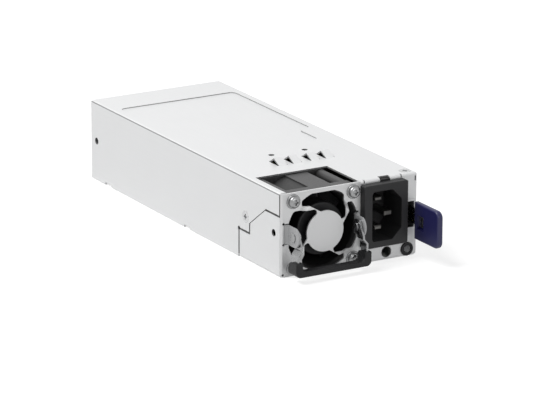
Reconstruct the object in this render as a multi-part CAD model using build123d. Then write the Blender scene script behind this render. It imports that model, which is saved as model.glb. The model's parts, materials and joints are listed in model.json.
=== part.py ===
from build123d import *
import os
from math import cos, hypot, radians, sin

os.makedirs("parts", exist_ok=True)

# Frame: millimetres, +Z up, the origin at the middle of the case's underside.
# The front with the fan guard and the inlet faces -Y, and +Y is the way the module slides in.

# What the case is built round: the inlet and the fan stand side by side behind the front panel
INLET_W = 23.6
INLET_H = 30.4
INLET_UNDER = 7.9
INLET_OVER = 1.7
FAN_INSET = 3.45
FAN_TO_INLET = 1.0
LATCH_ROOM = 7.45
FAN_CLEAR = 0.4

# Case, sheet metal
SHEET = 0.8
BEND_R = 1.2
CASE_L = 185.0
CASE_H = INLET_UNDER + INLET_H + INLET_OVER
FAN = CASE_H - 2 * SHEET - FAN_CLEAR
CASE_W = FAN_INSET + FAN + FAN_TO_INLET + INLET_W + LATCH_ROOM
WALL_GAP = 0.1
BASE_SIDE_DROP = 3.0
REAR_SETBACK = 0.1

HALF_W = CASE_W / 2
FRONT = -CASE_L / 2
REAR = CASE_L / 2 - REAR_SETBACK
BASE_HALF = HALF_W - SHEET - WALL_GAP
INSIDE_HALF = BASE_HALF - SHEET
LID_UNDER = CASE_H - SHEET
BASE_SIDE_H = CASE_H - BASE_SIDE_DROP

# Fan
FAN_DEPTH = 36.0
FAN_RIM = 1.1
FAN_SCREW_INSET = 3.0
FAN_WALL = 0.7
FAN_FLANGE = 7.3
FAN_CORNER_R = 2.0
FAN_BOSS_R = 3.0
FAN_HOLE_R = 1.75
FAN_BAND_W = 11.5
FAN_BAND_OFFSET = 2.6
FAN_TIP_GAP = 0.5
BLADE_SPAN = 5.3
HUB_WALL = 1.0
HUB_FRONT_GAP = 1.6
HUB_LEN = 27.0
BLADES = 7
BLADE_CHORD = 17.0
BLADE_T = 1.1
BLADE_ROOT_PITCH = 42.0
BLADE_TIP_PITCH = 56.0
SHAFT_R = 1.5
SHAFT_FIT = 0.05
MAGNET_T = 0.9
AIR_GAP = 0.4
STATOR_SLOTS = 6
SLOT_R = 1.5
MOTOR_BASE = 3.0
STRUT_W = 2.4
STRUTS = 4

FAN_X = FAN_INSET + FAN / 2 - HALF_W
FAN_Z = SHEET + FAN / 2
FAN_FRONT = FRONT + SHEET
FAN_REAR = FAN_FRONT + FAN_DEPTH
FAN_PITCH = FAN - 2 * FAN_SCREW_INSET
FAN_BORE_R = FAN / 2 - FAN_RIM
HUB_R = FAN_BORE_R - BLADE_SPAN
HUB_FRONT = FAN_FRONT + HUB_FRONT_GAP
HUB_REAR = HUB_FRONT + HUB_LEN
ROTOR_IN_R = HUB_R - HUB_WALL - MAGNET_T
MOTOR_FRONT = FAN_REAR - MOTOR_BASE

# Appliance inlet, upright, with its earth side to the right
INLET_X0 = FAN_X + FAN / 2 + FAN_TO_INLET
INLET_X1 = INLET_X0 + INLET_W
INLET_Z0 = INLET_UNDER
INLET_Z1 = INLET_Z0 + INLET_H
INLET_PROUD = 4.0
INLET_R = 1.0
INLET_EDGE = 0.4
INLET_BODY_INSET = 2.0
INLET_BODY_D = 17.0
INLET_FIT = 0.2
SOCKET_SHIFT_X = 0.25
SOCKET_SHIFT_Z = -0.1
SOCKET_W = 15.9
SOCKET_H = 24.1
SOCKET_CHAMFER = 5.0
SOCKET_R = 1.6
SOCKET_D = 16.0
PIN_W = 4.0
PIN_T = 2.0
PIN_PITCH = 14.0
PIN_SHIFT = 2.0
LINE_PIN_SET = 4.6
EARTH_PIN_SET = 2.2
TERMINAL_LEN = 7.0
TERMINAL_T = 0.8

SOCKET_X = (INLET_X0 + INLET_X1) / 2 + SOCKET_SHIFT_X
SOCKET_Z = (INLET_Z0 + INLET_Z1) / 2 + SOCKET_SHIFT_Z
INLET_FACE = FRONT - INLET_PROUD
SOCKET_FLOOR = INLET_FACE + SOCKET_D
INLET_BACK = FRONT + INLET_BODY_D

# Flush front part of the left wall, and the seam round it
SEAM_Y1 = FRONT + 37.6
SEAM_Z1 = 13.3
SEAM_Y2 = FRONT + 27.8
SEAM_Z2 = 18.8
SEAM_Y3 = FRONT + 14.2
SEAM_Z3 = 28.6
SEAM_GAP = 1.0
SEAM_DIAGONAL_GAP = 0.4
SEAM_RELIEF_R = 1.1
JOGGLE = 0.8
PANEL_GAP = 0.7

# Cover: fan opening, front lip, shallow recess, lanced bridges, holes
FAN_OPENING_Y = FRONT + 29.0
FAN_OPENING_GAP = 0.35
LIP_X = INLET_X0 - 0.1
LIP_H = 1.6
LIP_NOTCH_X = LIP_X + 2.7
STRIP_X = INLET_X1 - 1.0
STRIP_Z = 27.5
SLIT_W = 0.8
SLIT_DEPTH = 1.6
CLIP_X = (INLET_X0 + INLET_X1) / 2 + 1.5
CLIP_W = 5.6
CLIP_DEPTH = 2.6
CLIP_DROP = 0.8
RECESS_D = 0.4
RECESS_HALF_W = HALF_W - 4.65
RECESS_REAR = REAR - 21.4
RECESS_STEP_Y = FRONT + 88.5
RECESS_STEP_X = HALF_W - 11.55
RECESS_FRONT = FRONT + 69.5
RECESS_R = 3.0
BRIDGE_X = (-12.0, -4.1, 5.6, 13.55)
BRIDGE_SLOT_W = 5.3
BRIDGE_W = 4.3
BRIDGE_REAR = FRONT + 48.8
BRIDGE_CREST = FRONT + 44.9
BRIDGE_FRONT = FRONT + 40.0
BRIDGE_H = 2.5
BRIDGE_GRIP = 0.5
TOP_HOLE_R = 1.45
TOP_HOLE_X = (-8.1, 10.0)
TOP_HOLE_Y = FRONT + 57.4
SIDE_HOLE_R = 1.75
SIDE_HOLE_Z = 20.2
SIDE_HOLE_FRONT_Y = FRONT + 6.4
SIDE_HOLE_REAR_Y = REAR - 5.5
REAR_TAB_H = 14.5
REAR_TAB_REACH = 1.6
EDGE_NOTCH_H = 1.3
EDGE_NOTCH_Y = ((FRONT + 84.9, FRONT + 90.5), (REAR - 20.7, REAR - 14.3))

# Countersunk cover screws
FLAT_HEAD_R = 2.9
FLAT_HEAD_H = 1.4
SCREW_R = 1.5
SCREW_LEN = 3.0
SCREW_FIT = 0.05
SIDE_SCREW_Y = FRONT + 32.3
SIDE_SCREW_Z = 20.8
RIGHT_SCREW_Y = FRONT + 112.5
TOP_SCREW_X = HALF_W - 4.25
TOP_SCREW_Y = FRONT + 4.5
LUG_W = 7.5
LUG_D = 6.5
CROSS_W = 0.9
CROSS_SPAN = 2.6
CROSS_D = 0.8

# Guard, pressed out of the front panel
GUARD_R = FAN_BORE_R + 1.3
GUARD_FLAT = FAN / 2 - 0.75
GUARD_SIDE = 11.4
DISC_R = 9.75
SPOKE_EDGE = 11.15
SPOKE_W = 1.7
DISH_H = 2.0
DISH_R = FAN_BORE_R - 1.0
DISH_TOP_R = DISH_R - DISH_H
DISH_SHIFT = 0.3
GUARD_CORNER_R = 0.8
GUARD_TIP_R = 1.1
GUARD_OUTER_R = 2.2

# Washer-head screws of the fan
FAN_HEAD_R = 2.8
FAN_HEAD_H = 2.7
FAN_WASHER_R = 3.45
FAN_WASHER_H = 0.8
FAN_SCREW_R = 1.65
FAN_SCREW_LEN = 7.5

# Fold-down handle and its ears
HANDLE_X = FAN_X - 1.2
PIVOT_Y = FRONT - 5.55
PIVOT_Z = FAN_Z + 0.85
EAR_OUTER = FAN / 2 - 0.9
EAR_BEND_R = 1.6
EAR_HALF_H = 4.6
EAR_END_R = 5.2
EAR_RELIEF_R = 0.6
EAR_RELIEF_OUT = 0.1
EAR_SLIT = 0.4
ARM_T = 1.0
ARM_GAP = 0.3
EYE_R = 3.5
ARM_JOG = 1.9
JOG_TOP_Z = PIVOT_Z - 4.95
JOG_BOTTOM_Z = PIVOT_Z - 7.15
STRAP_FRONT = FRONT - 11.1
STRAP_REAR = FRONT - 6.1
STRAP_BOTTOM_Z = 4.6
PIVOT_R = 1.5
PIVOT_FIT = 0.06
RIVET_HEAD_R = 2.3
RIVET_HEAD_H = 0.35
RIVET_TAIL_H = 0.8
GRIP_HALF = EAR_OUTER + 2.0
GRIP_FRONT = FRONT - 12.5
GRIP_REAR = FRONT - 5.3
GRIP_BAR_REAR = FRONT - 8.5
GRIP_Z0 = 2.9
GRIP_Z1 = 9.7
GRIP_LEG = 3.6
GRIP_BAR = 2.7
GRIP_R = 2.6
GRIP_INNER_R = 2.2
GRIP_TOP_R = 2.7
GRIP_EDGE = 0.7

ARM_OUTER = EAR_OUTER - SHEET - ARM_GAP

# Small front features
CORD_HOLE_X = INLET_X1 - 9.2
CORD_HOLE_Z = 3.7
CORD_HOLE_R = 2.7
LED_X = HALF_W - 5.55
LED_Z = 3.5
LED_RING_R = 3.3
LED_PIPE_R = 1.9
LED_FIT = 0.05
LED_RING_PROUD = 0.8
LED_SEAT_R = 2.35
LED_PIPE_LEN = 23.0

# Release latch inside the right wall
LEAF_T = 0.8
LEAF_GAP = 0.3
LEAF_Z0 = 15.6
LEAF_Z1 = 23.4
LEAF_PIVOT_Y = FRONT + 41.0
LEAF_SPLIT = 0.3
FOOT_LEN = 14.0
FOOT_Z_GROW = 1.6
LATCH_RIVET_R = 1.5
LATCH_RIVET_HEAD_R = 2.2
LATCH_RIVET_HEAD_H = 0.7
HOOK_FRONT = FRONT + 6.5
HOOK_LEN = 10.0
HOOK_REACH = 1.6
HOOK_LAND = 1.2
HOOK_WINDOW_GAP = 0.8
SLOT_X0 = HALF_W - 5.45
SLOT_X1 = HALF_W - 1.65
SLOT_Z0 = 13.6
SLOT_Z1 = 26.3
TAB_T = 3.0
TAB_REAR = FRONT - 3.4
TAB_FRONT = FRONT - 23.9
TAB_Z0 = 9.0
TAB_Z1 = 26.9
TAB_R = 3.2
TAB_EDGE = 0.9
TAB_WINDOW_Y0 = FRONT - 11.6
TAB_WINDOW_Y1 = FRONT - 6.4
TAB_WINDOW_Z0 = 14.5
TAB_WINDOW_Z1 = 21.4
LEAF_IN_TAB = 18.0

LEAF_X1 = INSIDE_HALF - LEAF_GAP
LEAF_X0 = LEAF_X1 - LEAF_T

# Circuit board
BOARD_Z = 6.0
BOARD_T = 1.6
BOARD_SIDE_GAP = 0.6
BOARD_FRONT = FAN_REAR + 2.0
BOARD_REAR_GAP = 0.4
BOARD_WING_X0 = INLET_X0 + 1.3
BOARD_WING_X1 = INSIDE_HALF - 4.05
BOARD_WING_FRONT = INLET_BACK + 4.0
TONGUE_HALF = INSIDE_HALF - 3.05
TONGUE_REACH = 8.6
TONGUE_SLOT_GAP = 0.6
CONTACT_PITCH = 2.54
CONTACTS = int(2 * TONGUE_HALF / CONTACT_PITCH)
CONTACT_W = 1.9
CONTACT_LEN = 7.2
CONTACT_T = 0.1
STANDOFF_R = 2.6
STANDOFF_X = INSIDE_HALF - 5.05
STANDOFF_PLACES = (
    (-STANDOFF_X, BOARD_FRONT + 7.7),
    (STANDOFF_X, BOARD_FRONT + 21.7),
    (-STANDOFF_X, REAR - 10.4),
    (STANDOFF_X, REAR - 10.4),
)
BOARD_SCREW_HEAD_R = 2.6
BOARD_SCREW_HEAD_H = 1.8
BOARD_SCREW_R = 1.3
LINER_T = 0.3
LINER_SIDE_H = 16.0
LINER_HOLE_GAP = 0.4

BOARD_TOP = BOARD_Z + BOARD_T
ROOM = LID_UNDER - BOARD_TOP
SIDE = INSIDE_HALF - LINER_T

# What stands on the board: the middle zone ends where the output side begins
MID_FRONT = BOARD_FRONT + 53.7
MID_REAR = REAR - 52.4
X_CAP_W = 18.0
X_CAP_D = 6.5
X_CAP_H = 14.0
X_CAP_PITCH = 7.5
CHOKE_X = INLET_X0 + 9.3
CHOKE_PITCH = 24.0
CHOKE_FOOT = 19.0
CHOKE_FOOT_T = 1.6
CHOKE_OUT_R = 9.0
CHOKE_IN_R = 4.6
CHOKE_H = 9.0
CHOKE_TURNS = 9
WIRE_T = 1.2
WIRE_W = 1.5
RELAY_X0 = -SIDE + 8.75
RELAY_W = 16.0
RELAY_D = 12.0
RELAY_H = 15.0
FUSE_LEN = 18.0
FUSE_R = 2.9
FUSE_CAP = 5.0
FUSE_CAP_T = 0.3
FUSE_X0 = -SIDE + 6.75
FUSE_Y = BOARD_FRONT + 18.0
FUSE_Z = BOARD_TOP + 4.6
CAN_GAP = 1.0
CAN_ROOF_GAP = 1.4
CAN_R = (ROOM - CAN_GAP - CAN_ROOF_GAP) / 2
CAN_X = -(SIDE - CAN_GAP - CAN_R)
CAN_FRONT = MID_FRONT + 2.0
CAN_REAR = MID_REAR + 8.0
CAN_EDGE_R = 1.4
CAN_GROOVE = 0.7
CRADLE_W = 18.0
CRADLE_H = 4.5
CRADLE_INSET = 6.0
SINK_X0 = INSIDE_HALF - 25.55
SINK_W = 8.0
SINK_H = ROOM - 3.6
SINK_PLATE = 2.5
SINK_FIN = 0.9
SINK_FOOT = 6.0
RECTIFIER_T = 4.0
RECTIFIER_H = 20.0
TRANSISTOR_T = 4.3
TRANSISTOR_W = 4.8
TRANSISTOR_H = 15.0
TRANSISTOR_PITCH = 5.5
LEAD_T = 0.8
BOOST_W = 13.5
BOOST_X1 = INSIDE_HALF - 2.55
BOOST_H = ROOM - 5.6
CORE_YOKE = 5.0
TRANSFORMER_W = 28.0
TRANSFORMER_D = 24.0
TRANSFORMER_X1 = INSIDE_HALF - 3.05
TRANSFORMER_Y0 = MID_REAR + 4.0
TRANSFORMER_H = ROOM - 4.6
WINDING_PROUD = 2.5
OUT_CAN_R = 4.0
OUT_CAN_H = 17.0
OUT_CAN_X0 = -SIDE + 5.75
OUT_CAN_X_PITCH = 9.0
OUT_CAN_Y0 = MID_REAR + 13.0
OUT_CAN_Y_PITCH = 10.0
OUT_SINK_X0 = OUT_CAN_X0 + 2 * OUT_CAN_X_PITCH + OUT_CAN_R + 0.5
OUT_SINK_W = 8.5
OUT_SINK_H = ROOM - 5.6
OUT_SINK_Y0 = MID_REAR + 22.0
OUT_SINK_Y1 = REAR - 8.4
BUSBAR_X0 = TRANSFORMER_X1 - 27.0
BUSBAR_W = 9.0
BUSBAR_PITCH = 10.5
BUSBAR_T = 1.5
BUSBAR_H = 18.0
BUSBAR_FRONT = TRANSFORMER_Y0 + TRANSFORMER_D + WINDING_PROUD + 1.0
BUSBAR_REAR = REAR - 2.4
CARD_T = 1.6
CARD_X0 = -SIDE + 1.15
CARD_Y0 = BOARD_FRONT + 23.7
CARD_Y1 = MID_FRONT - 4.0
CARD_LIFT = 1.0
CARD_H = ROOM - 5.6
CHIP_T = 1.4
HEADER_X0 = FAN_X + 6.3
HEADER_W = 10.0
HEADER_D = 6.0
HEADER_H = 7.0
HEADER_WALL = 1.0

# Air holes in the rear wall
VENT_FLATS = 4.6
VENT_PITCH = 5.8
VENT_Z = 13.4
VENT_ROW = VENT_PITCH * cos(radians(30))
VENT_COLUMNS = int((2 * INSIDE_HALF - VENT_PITCH) / VENT_PITCH)
VENT_ROWS = 1 + int((LID_UNDER - VENT_Z - VENT_FLATS) / VENT_ROW)


def block(x0, x1, y0, y1, z0, z1):
    """A box given by its two faces on each axis."""
    return Pos((x0 + x1) / 2, (y0 + y1) / 2, (z0 + z1) / 2) * Box(x1 - x0, y1 - y0, z1 - z0)


def rod_x(y, z, x0, x1, r):
    return Pos((x0 + x1) / 2, y, z) * Rot(0, 90, 0) * Cylinder(r, x1 - x0)


def rod_y(x, z, y0, y1, r):
    return Pos(x, (y0 + y1) / 2, z) * Rot(90, 0, 0) * Cylinder(r, y1 - y0)


def rod_z(x, y, z0, z1, r):
    return Pos(x, y, (z0 + z1) / 2) * Cylinder(r, z1 - z0)


def outline(*points):
    """A flat face inside a closed run of points."""
    return make_face(Polyline(*points, close=True))


def along_x(face, x0, x1):
    """A face drawn in (y, z), pushed from x0 to x1."""
    return extrude(Plane(origin=(x0, 0, 0), x_dir=(0, 1, 0), z_dir=(1, 0, 0)) * face, amount=x1 - x0)


def along_y(face, y0, y1):
    """A face drawn in (x, z), pushed from y1 forwards to y0."""
    return extrude(Plane(origin=(0, y1, 0), x_dir=(1, 0, 0), z_dir=(0, -1, 0)) * face, amount=y1 - y0)


def along_z(face, z0, z1):
    """A face drawn in (x, y), pushed from z0 to z1."""
    return extrude(Pos(0, 0, z0) * face, amount=z1 - z0)


def about_y(face, x, z):
    """A face drawn in (radius, y), turned about the line along Y through (x, z)."""
    return Pos(x, 0, z) * revolve(face, Axis.Y)


def rectangle(x0, x1, y0, y1):
    return Pos((x0 + x1) / 2, (y0 + y1) / 2) * Rectangle(x1 - x0, y1 - y0)


def cross_recess(depth):
    """The driver recess of a cross-head screw, opening upwards at z = 0."""
    blade = Box(CROSS_SPAN, CROSS_W, 2 * depth)
    return blade + Rot(0, 0, 90) * blade


def flat_head_screw():
    """A countersunk screw, its head flush at z = 0 and its shank down."""
    head = outline((0, 0), (FLAT_HEAD_R, 0), (SCREW_R, -FLAT_HEAD_H), (0, -FLAT_HEAD_H))
    screw = revolve(Plane.XZ * head, Axis.Z) + rod_z(0, 0, -SCREW_LEN, -FLAT_HEAD_H, SCREW_R)
    return screw - cross_recess(CROSS_D)


def flat_head_seat():
    """The countersink and hole that a flat-head screw leaves in the sheets under it."""
    r = FLAT_HEAD_R + SCREW_FIT
    shank = SCREW_R + SCREW_FIT
    cone = outline((0, SHEET), (r + SHEET, SHEET), (shank, -FLAT_HEAD_H), (0, -FLAT_HEAD_H))
    return revolve(Plane.XZ * cone, Axis.Z) + rod_z(0, 0, -SCREW_LEN - SHEET, -FLAT_HEAD_H, shank)


def pan_head_screw(head_r, head_h, shank_r, length):
    """A pan-head screw with its seat at z = 0 and its shank down."""
    head = rod_z(0, 0, 0, head_h, head_r)
    head = fillet(head.edges().sort_by(Axis.Z)[-1], head_h * 0.5)
    return head + rod_z(0, 0, -length, 0, shank_r) - Pos(0, 0, head_h) * cross_recess(CROSS_D)


def washer_head_screw():
    """A pan-head screw with a round flange under its head."""
    flange = rod_z(0, 0, 0, FAN_WASHER_H, FAN_WASHER_R)
    flange = fillet(flange.edges().sort_by(Axis.Z)[-1], FAN_WASHER_H * 0.4)
    return flange + pan_head_screw(FAN_HEAD_R, FAN_HEAD_H, FAN_SCREW_R, FAN_SCREW_LEN)


LEFT_SCREW = Pos(-HALF_W, SIDE_SCREW_Y, SIDE_SCREW_Z) * Rot(0, -90, 0)
RIGHT_SCREW = Pos(HALF_W, RIGHT_SCREW_Y, SIDE_SCREW_Z) * Rot(0, 90, 0)
TOP_SCREW = Pos(TOP_SCREW_X, TOP_SCREW_Y, CASE_H)
COVER_SCREWS = (LEFT_SCREW, RIGHT_SCREW, TOP_SCREW)


def seam_outline(grow, diagonal_grow, front, bottom):
    """Outline of the flush front part of the left wall, moved outwards by the given distances."""
    back, up = SEAM_Y2 - SEAM_Y3, SEAM_Z3 - SEAM_Z2
    normal_y, normal_z = up / hypot(back, up), back / hypot(back, up)
    step_z = SEAM_Z2 + (diagonal_grow - normal_y * grow) / normal_z
    step_y = SEAM_Y3 + (diagonal_grow - normal_z * grow) / normal_y
    return outline(
        (front, bottom),
        (SEAM_Y1 + grow, bottom),
        (SEAM_Y1 + grow, SEAM_Z1 + grow),
        (SEAM_Y2 + grow, SEAM_Z1 + grow),
        (SEAM_Y2 + grow, step_z),
        (step_y, SEAM_Z3 + grow),
        (front, SEAM_Z3 + grow),
    )


def guard_opening():
    """One of the four openings of the guard, about the fan's centre."""
    ring = Circle(GUARD_R) - Circle(DISC_R)
    spoke_top = SPOKE_EDGE + SPOKE_W
    sector = outline(
        (-GUARD_SIDE, spoke_top),
        (-0.8 * DISC_R, spoke_top),
        (-0.2 * DISC_R, DISC_R - 0.4),
        (0, 0),
        (SPOKE_EDGE, 0.55 * DISC_R - 0.3),
        (SPOKE_EDGE, GUARD_FLAT),
        (-GUARD_SIDE, GUARD_FLAT),
    )
    opening = (ring & sector).face()
    outer = opening.vertices().sort_by_distance((SPOKE_EDGE, GUARD_FLAT))[0]
    opening = fillet(outer, GUARD_OUTER_R).face()
    tip = opening.vertices().filter_by(lambda v: v.Y < 0.62 * DISC_R)
    opening = fillet(tip, GUARD_TIP_R).face()
    corners = opening.vertices().filter_by(lambda v: v.X < 0.5 * SPOKE_EDGE and v.Y > 0.8 * DISC_R)
    return fillet(corners, GUARD_CORNER_R)


def guard_dish():
    """The raised middle of the guard as one dished sheet, its openings not yet cut."""
    rim = GUARD_FLAT + SHEET
    profile = outline(
        (0, FRONT - DISH_H),
        (DISH_TOP_R, FRONT - DISH_H),
        (DISH_R, FRONT),
        (rim, FRONT),
        (rim, FRONT + SHEET),
        (DISH_R - DISH_SHIFT, FRONT + SHEET),
        (DISH_TOP_R - DISH_SHIFT, FRONT - DISH_H + SHEET),
        (0, FRONT - DISH_H + SHEET),
    )
    return about_y(profile, FAN_X, FAN_Z)


EAR_Z0 = PIVOT_Z - EAR_HALF_H
EAR_Z1 = PIVOT_Z + EAR_HALF_H
EAR_END = PIVOT_Y - EAR_END_R


def ear(side):
    """A lug bent forwards out of the front panel to carry the handle's pivot."""
    bend_x = EAR_OUTER + EAR_BEND_R
    bend_y = FRONT - EAR_BEND_R
    outer = EAR_BEND_R + SHEET
    bend = (Circle(outer) - Circle(EAR_BEND_R)) & rectangle(-outer, 0, 0, outer)
    plan = Pos(bend_x, bend_y) * bend
    plan += rectangle(EAR_OUTER - SHEET, EAR_OUTER, EAR_END, bend_y)
    solid = along_z(plan, EAR_Z0, EAR_Z1)
    arc_start = PIVOT_Y - (EAR_END_R**2 - EAR_HALF_H**2) ** 0.5
    side_view = rectangle(arc_start, FRONT + SHEET, EAR_Z0, EAR_Z1)
    side_view += Pos(PIVOT_Y, PIVOT_Z) * Circle(EAR_END_R) & rectangle(EAR_END, PIVOT_Y, EAR_Z0, EAR_Z1)
    solid &= along_x(side_view, EAR_OUTER - SHEET, bend_x)
    solid -= rod_x(PIVOT_Y, PIVOT_Z, EAR_OUTER - 2 * SHEET, EAR_OUTER + SHEET, PIVOT_R)
    if side < 0:
        solid = mirror(solid, Plane.YZ)
    return Pos(HANDLE_X, 0, 0) * solid


def ear_window(side):
    """The opening that the bent lug leaves in the panel, a slit above and below it."""
    bend_x = EAR_OUTER + EAR_BEND_R
    inner = FAN_X - HANDLE_X + GUARD_FLAT if side > 0 else HANDLE_X - FAN_X + GUARD_FLAT
    window = block(inner - SHEET, bend_x, FRONT - SHEET, FRONT + 2 * SHEET, EAR_Z0 - EAR_SLIT, EAR_Z1 + EAR_SLIT)
    if side < 0:
        window = mirror(window, Plane.YZ)
    return Pos(HANDLE_X, 0, 0) * window


def ear_reliefs(side):
    """Round reliefs at the two ends of the lug's bend."""
    x = HANDLE_X + side * (EAR_OUTER + EAR_BEND_R + EAR_RELIEF_OUT)
    holes = [rod_y(x, z, FRONT - SHEET, FRONT + 2 * SHEET, EAR_RELIEF_R)
             for z in (EAR_Z0 - EAR_SLIT, EAR_Z1 + EAR_SLIT)]
    return holes[0] + holes[1]


def handle_ears():
    """The two lugs, from the start of the bend that joins each to the front panel."""
    return [ear(side) - ear_reliefs(side) for side in (-1, 1)]


def tray_inside():
    """Inside of the lower shell's channel section."""
    inner = rectangle(-INSIDE_HALF, INSIDE_HALF, SHEET, LID_UNDER - WALL_GAP)
    return fillet(inner.vertices().sort_by(Axis.Y)[:2], BEND_R - SHEET)


def folded_tray():
    """The lower shell as one folded sheet: bottom, front panel with its guard, inner side walls."""
    outer = fillet(rectangle(-BASE_HALF, BASE_HALF, 0, BASE_SIDE_H).vertices().sort_by(Axis.Y)[:2], BEND_R)
    tray = along_y(outer - tray_inside(), FRONT + SHEET / 2, REAR)

    # The flush part of the left wall is the same sheet, stepped out by a joggle along its seam
    pocket = seam_outline(-JOGGLE, -JOGGLE, FRONT + SHEET, SHEET)
    tray -= along_x(pocket, -HALF_W, -INSIDE_HALF + SHEET)
    flush = seam_outline(0, 0, FRONT, 0)
    cup = block(-HALF_W, HALF_W, FRONT, SEAM_Y1, 0, CASE_H - WALL_GAP)
    front_edges = cup.edges().group_by(Axis.Y)[0].sort_by(Axis.Z)
    cup = fillet(list(front_edges[:3]) + list(cup.edges().group_by(Axis.Z)[0].filter_by(Axis.Y)), BEND_R)
    hollow = block(-HALF_W + SHEET, HALF_W - SHEET, FRONT + SHEET, SEAM_Y1 + SHEET, SHEET, CASE_H)
    panel = block(-HALF_W, HALF_W, FRONT, FRONT + SHEET, 0, CASE_H)
    right_edge = block(INSIDE_HALF, HALF_W, FRONT, FRONT + BEND_R, 0, STRIP_Z)
    left_wall = along_x(flush, -HALF_W, -INSIDE_HALF)
    tray += (cup - hollow) & (panel + right_edge + left_wall)
    rim = seam_outline(0, 0, FRONT + SHEET, SHEET / 2) - pocket
    tray += along_x(rim, -HALF_W + SHEET / 2, -INSIDE_HALF)

    # A guide tab each side, reaching past the rear wall
    guide = outline((REAR - SHEET, BEND_R), (REAR, BEND_R), (REAR + REAR_TAB_REACH, BEND_R + REAR_TAB_REACH),
                    (REAR + REAR_TAB_REACH, REAR_TAB_H), (REAR - SHEET, REAR_TAB_H))
    for x in (-BASE_HALF, INSIDE_HALF):
        tray += along_x(guide, x, x + SHEET)

    # Lug under the cover's front corner screw
    lug_top = LID_UNDER - WALL_GAP
    tray += block(TOP_SCREW_X - LUG_W / 2, INSIDE_HALF + SHEET, TOP_SCREW_Y - LUG_D / 2,
                  TOP_SCREW_Y + LUG_D / 2, lug_top - SHEET, lug_top)
    tray += block(INSIDE_HALF, BASE_HALF, TOP_SCREW_Y - LUG_D / 2, TOP_SCREW_Y + LUG_D / 2,
                  BASE_SIDE_H - SHEET, lug_top)

    # Guard
    tray -= rod_y(FAN_X, FAN_Z, FRONT - SHEET, FRONT + SHEET, DISH_R)
    tray += guard_dish()
    for quarter in range(4):
        opening = Rot(0, 0, -90 * quarter) * guard_opening()
        tray -= along_y(Pos(FAN_X, FAN_Z) * opening, FRONT - 2 * DISH_H, FRONT + 1.5 * SHEET)
    for x, z in fan_corners():
        tray -= rod_y(x, z, FRONT - SHEET, FRONT + 2 * SHEET, FAN_SCREW_R + SCREW_FIT)

    # Openings that the bent lugs leave
    for side in (-1, 1):
        tray -= ear_window(side) + ear_reliefs(side)

    # Room for the cover's lip and strip, then inlet, latch, cord clip and lamp
    lip_z = CASE_H - LIP_H - WALL_GAP
    tray -= block(LIP_X - WALL_GAP, HALF_W, FRONT - SHEET, FRONT + SHEET, lip_z, CASE_H)
    tray -= block(STRIP_X - WALL_GAP, HALF_W, FRONT - SHEET, FRONT + 2 * SHEET, STRIP_Z - WALL_GAP, CASE_H)
    tray -= along_y(inlet_body_outline(INLET_FIT), FRONT - SHEET, FRONT + 2 * SHEET)
    tray -= block(CLIP_X - CLIP_W / 2, CLIP_X + CLIP_W / 2, FRONT - SHEET, FRONT + 2 * SHEET,
                  INLET_Z1 - 2 * INLET_BODY_INSET, CASE_H)
    tray -= block(SLOT_X0, SLOT_X1, FRONT - SHEET, FRONT + 2 * SHEET, SLOT_Z0, SLOT_Z1)
    tray -= rod_y(CORD_HOLE_X, CORD_HOLE_Z, FRONT - SHEET, FRONT + 2 * SHEET, CORD_HOLE_R)
    tray -= rod_y(LED_X, LED_Z, FRONT - SHEET, FRONT + 2 * SHEET, LED_SEAT_R + LED_FIT)
    tray -= rod_y(-HALF_W + BEND_R, BEND_R, FRONT - SHEET, FRONT + 2 * SHEET, EAR_RELIEF_R)

    # Side holes, screw seats and the hook's window
    for y in (SIDE_HOLE_FRONT_Y, SIDE_HOLE_REAR_Y):
        tray -= rod_x(y, SIDE_HOLE_Z, -HALF_W - SHEET, -INSIDE_HALF + SHEET, SIDE_HOLE_R)
    tray -= rod_x(SIDE_HOLE_REAR_Y, SIDE_HOLE_Z, INSIDE_HALF - SHEET, HALF_W + SHEET, SIDE_HOLE_R)
    for place in COVER_SCREWS:
        tray -= place * flat_head_seat()
    tray -= hook_window()
    for y in latch_rivet_places():
        tray -= rod_x(y, (LEAF_Z0 + LEAF_Z1) / 2, INSIDE_HALF - SHEET, BASE_HALF + SHEET, LATCH_RIVET_R)
    for x, y in STANDOFF_PLACES:
        tray -= rod_z(x, y, -SHEET, 2 * SHEET, STANDOFF_R - LINER_HOLE_GAP)
    return tray


def rear_panel():
    """Rear wall between the side walls, with vents and the slot for the card edge."""
    gap = TONGUE_SLOT_GAP
    panel = along_y(tray_inside(), REAR - SHEET, REAR)
    panel -= block(-TONGUE_HALF - gap, TONGUE_HALF + gap, REAR - 2 * SHEET, REAR + SHEET,
                   BOARD_Z - gap, BOARD_TOP + gap)
    return panel - vent_holes()


def vent_holes():
    """A field of hexagonal air holes through the rear wall, each second row shifted by half a pitch."""
    cell = RegularPolygon(VENT_FLATS / 2, 6, major_radius=False, rotation=30)
    field = Sketch()
    for row in range(VENT_ROWS):
        count = VENT_COLUMNS - row % 2
        for column in range(count):
            x = (column - (count - 1) / 2) * VENT_PITCH
            z = VENT_Z + row * VENT_ROW
            field += Pos(x, z) * cell
    return along_y(field, REAR - 2 * SHEET, REAR + SHEET)


def hook_window():
    """The opening in both right-hand walls that the latch's hook comes out of."""
    gap = HOOK_WINDOW_GAP
    return block(INSIDE_HALF - SHEET, HALF_W + SHEET, HOOK_FRONT - gap, HOOK_FRONT + HOOK_LEN + gap,
                 LEAF_Z0 - gap, LEAF_Z1 + gap)


def latch_rivet_places():
    edge = LATCH_RIVET_HEAD_R + LEAF_SPLIT
    return (LEAF_PIVOT_Y + 5 * LEAF_T + edge, LEAF_PIVOT_Y + FOOT_LEN - edge)


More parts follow.
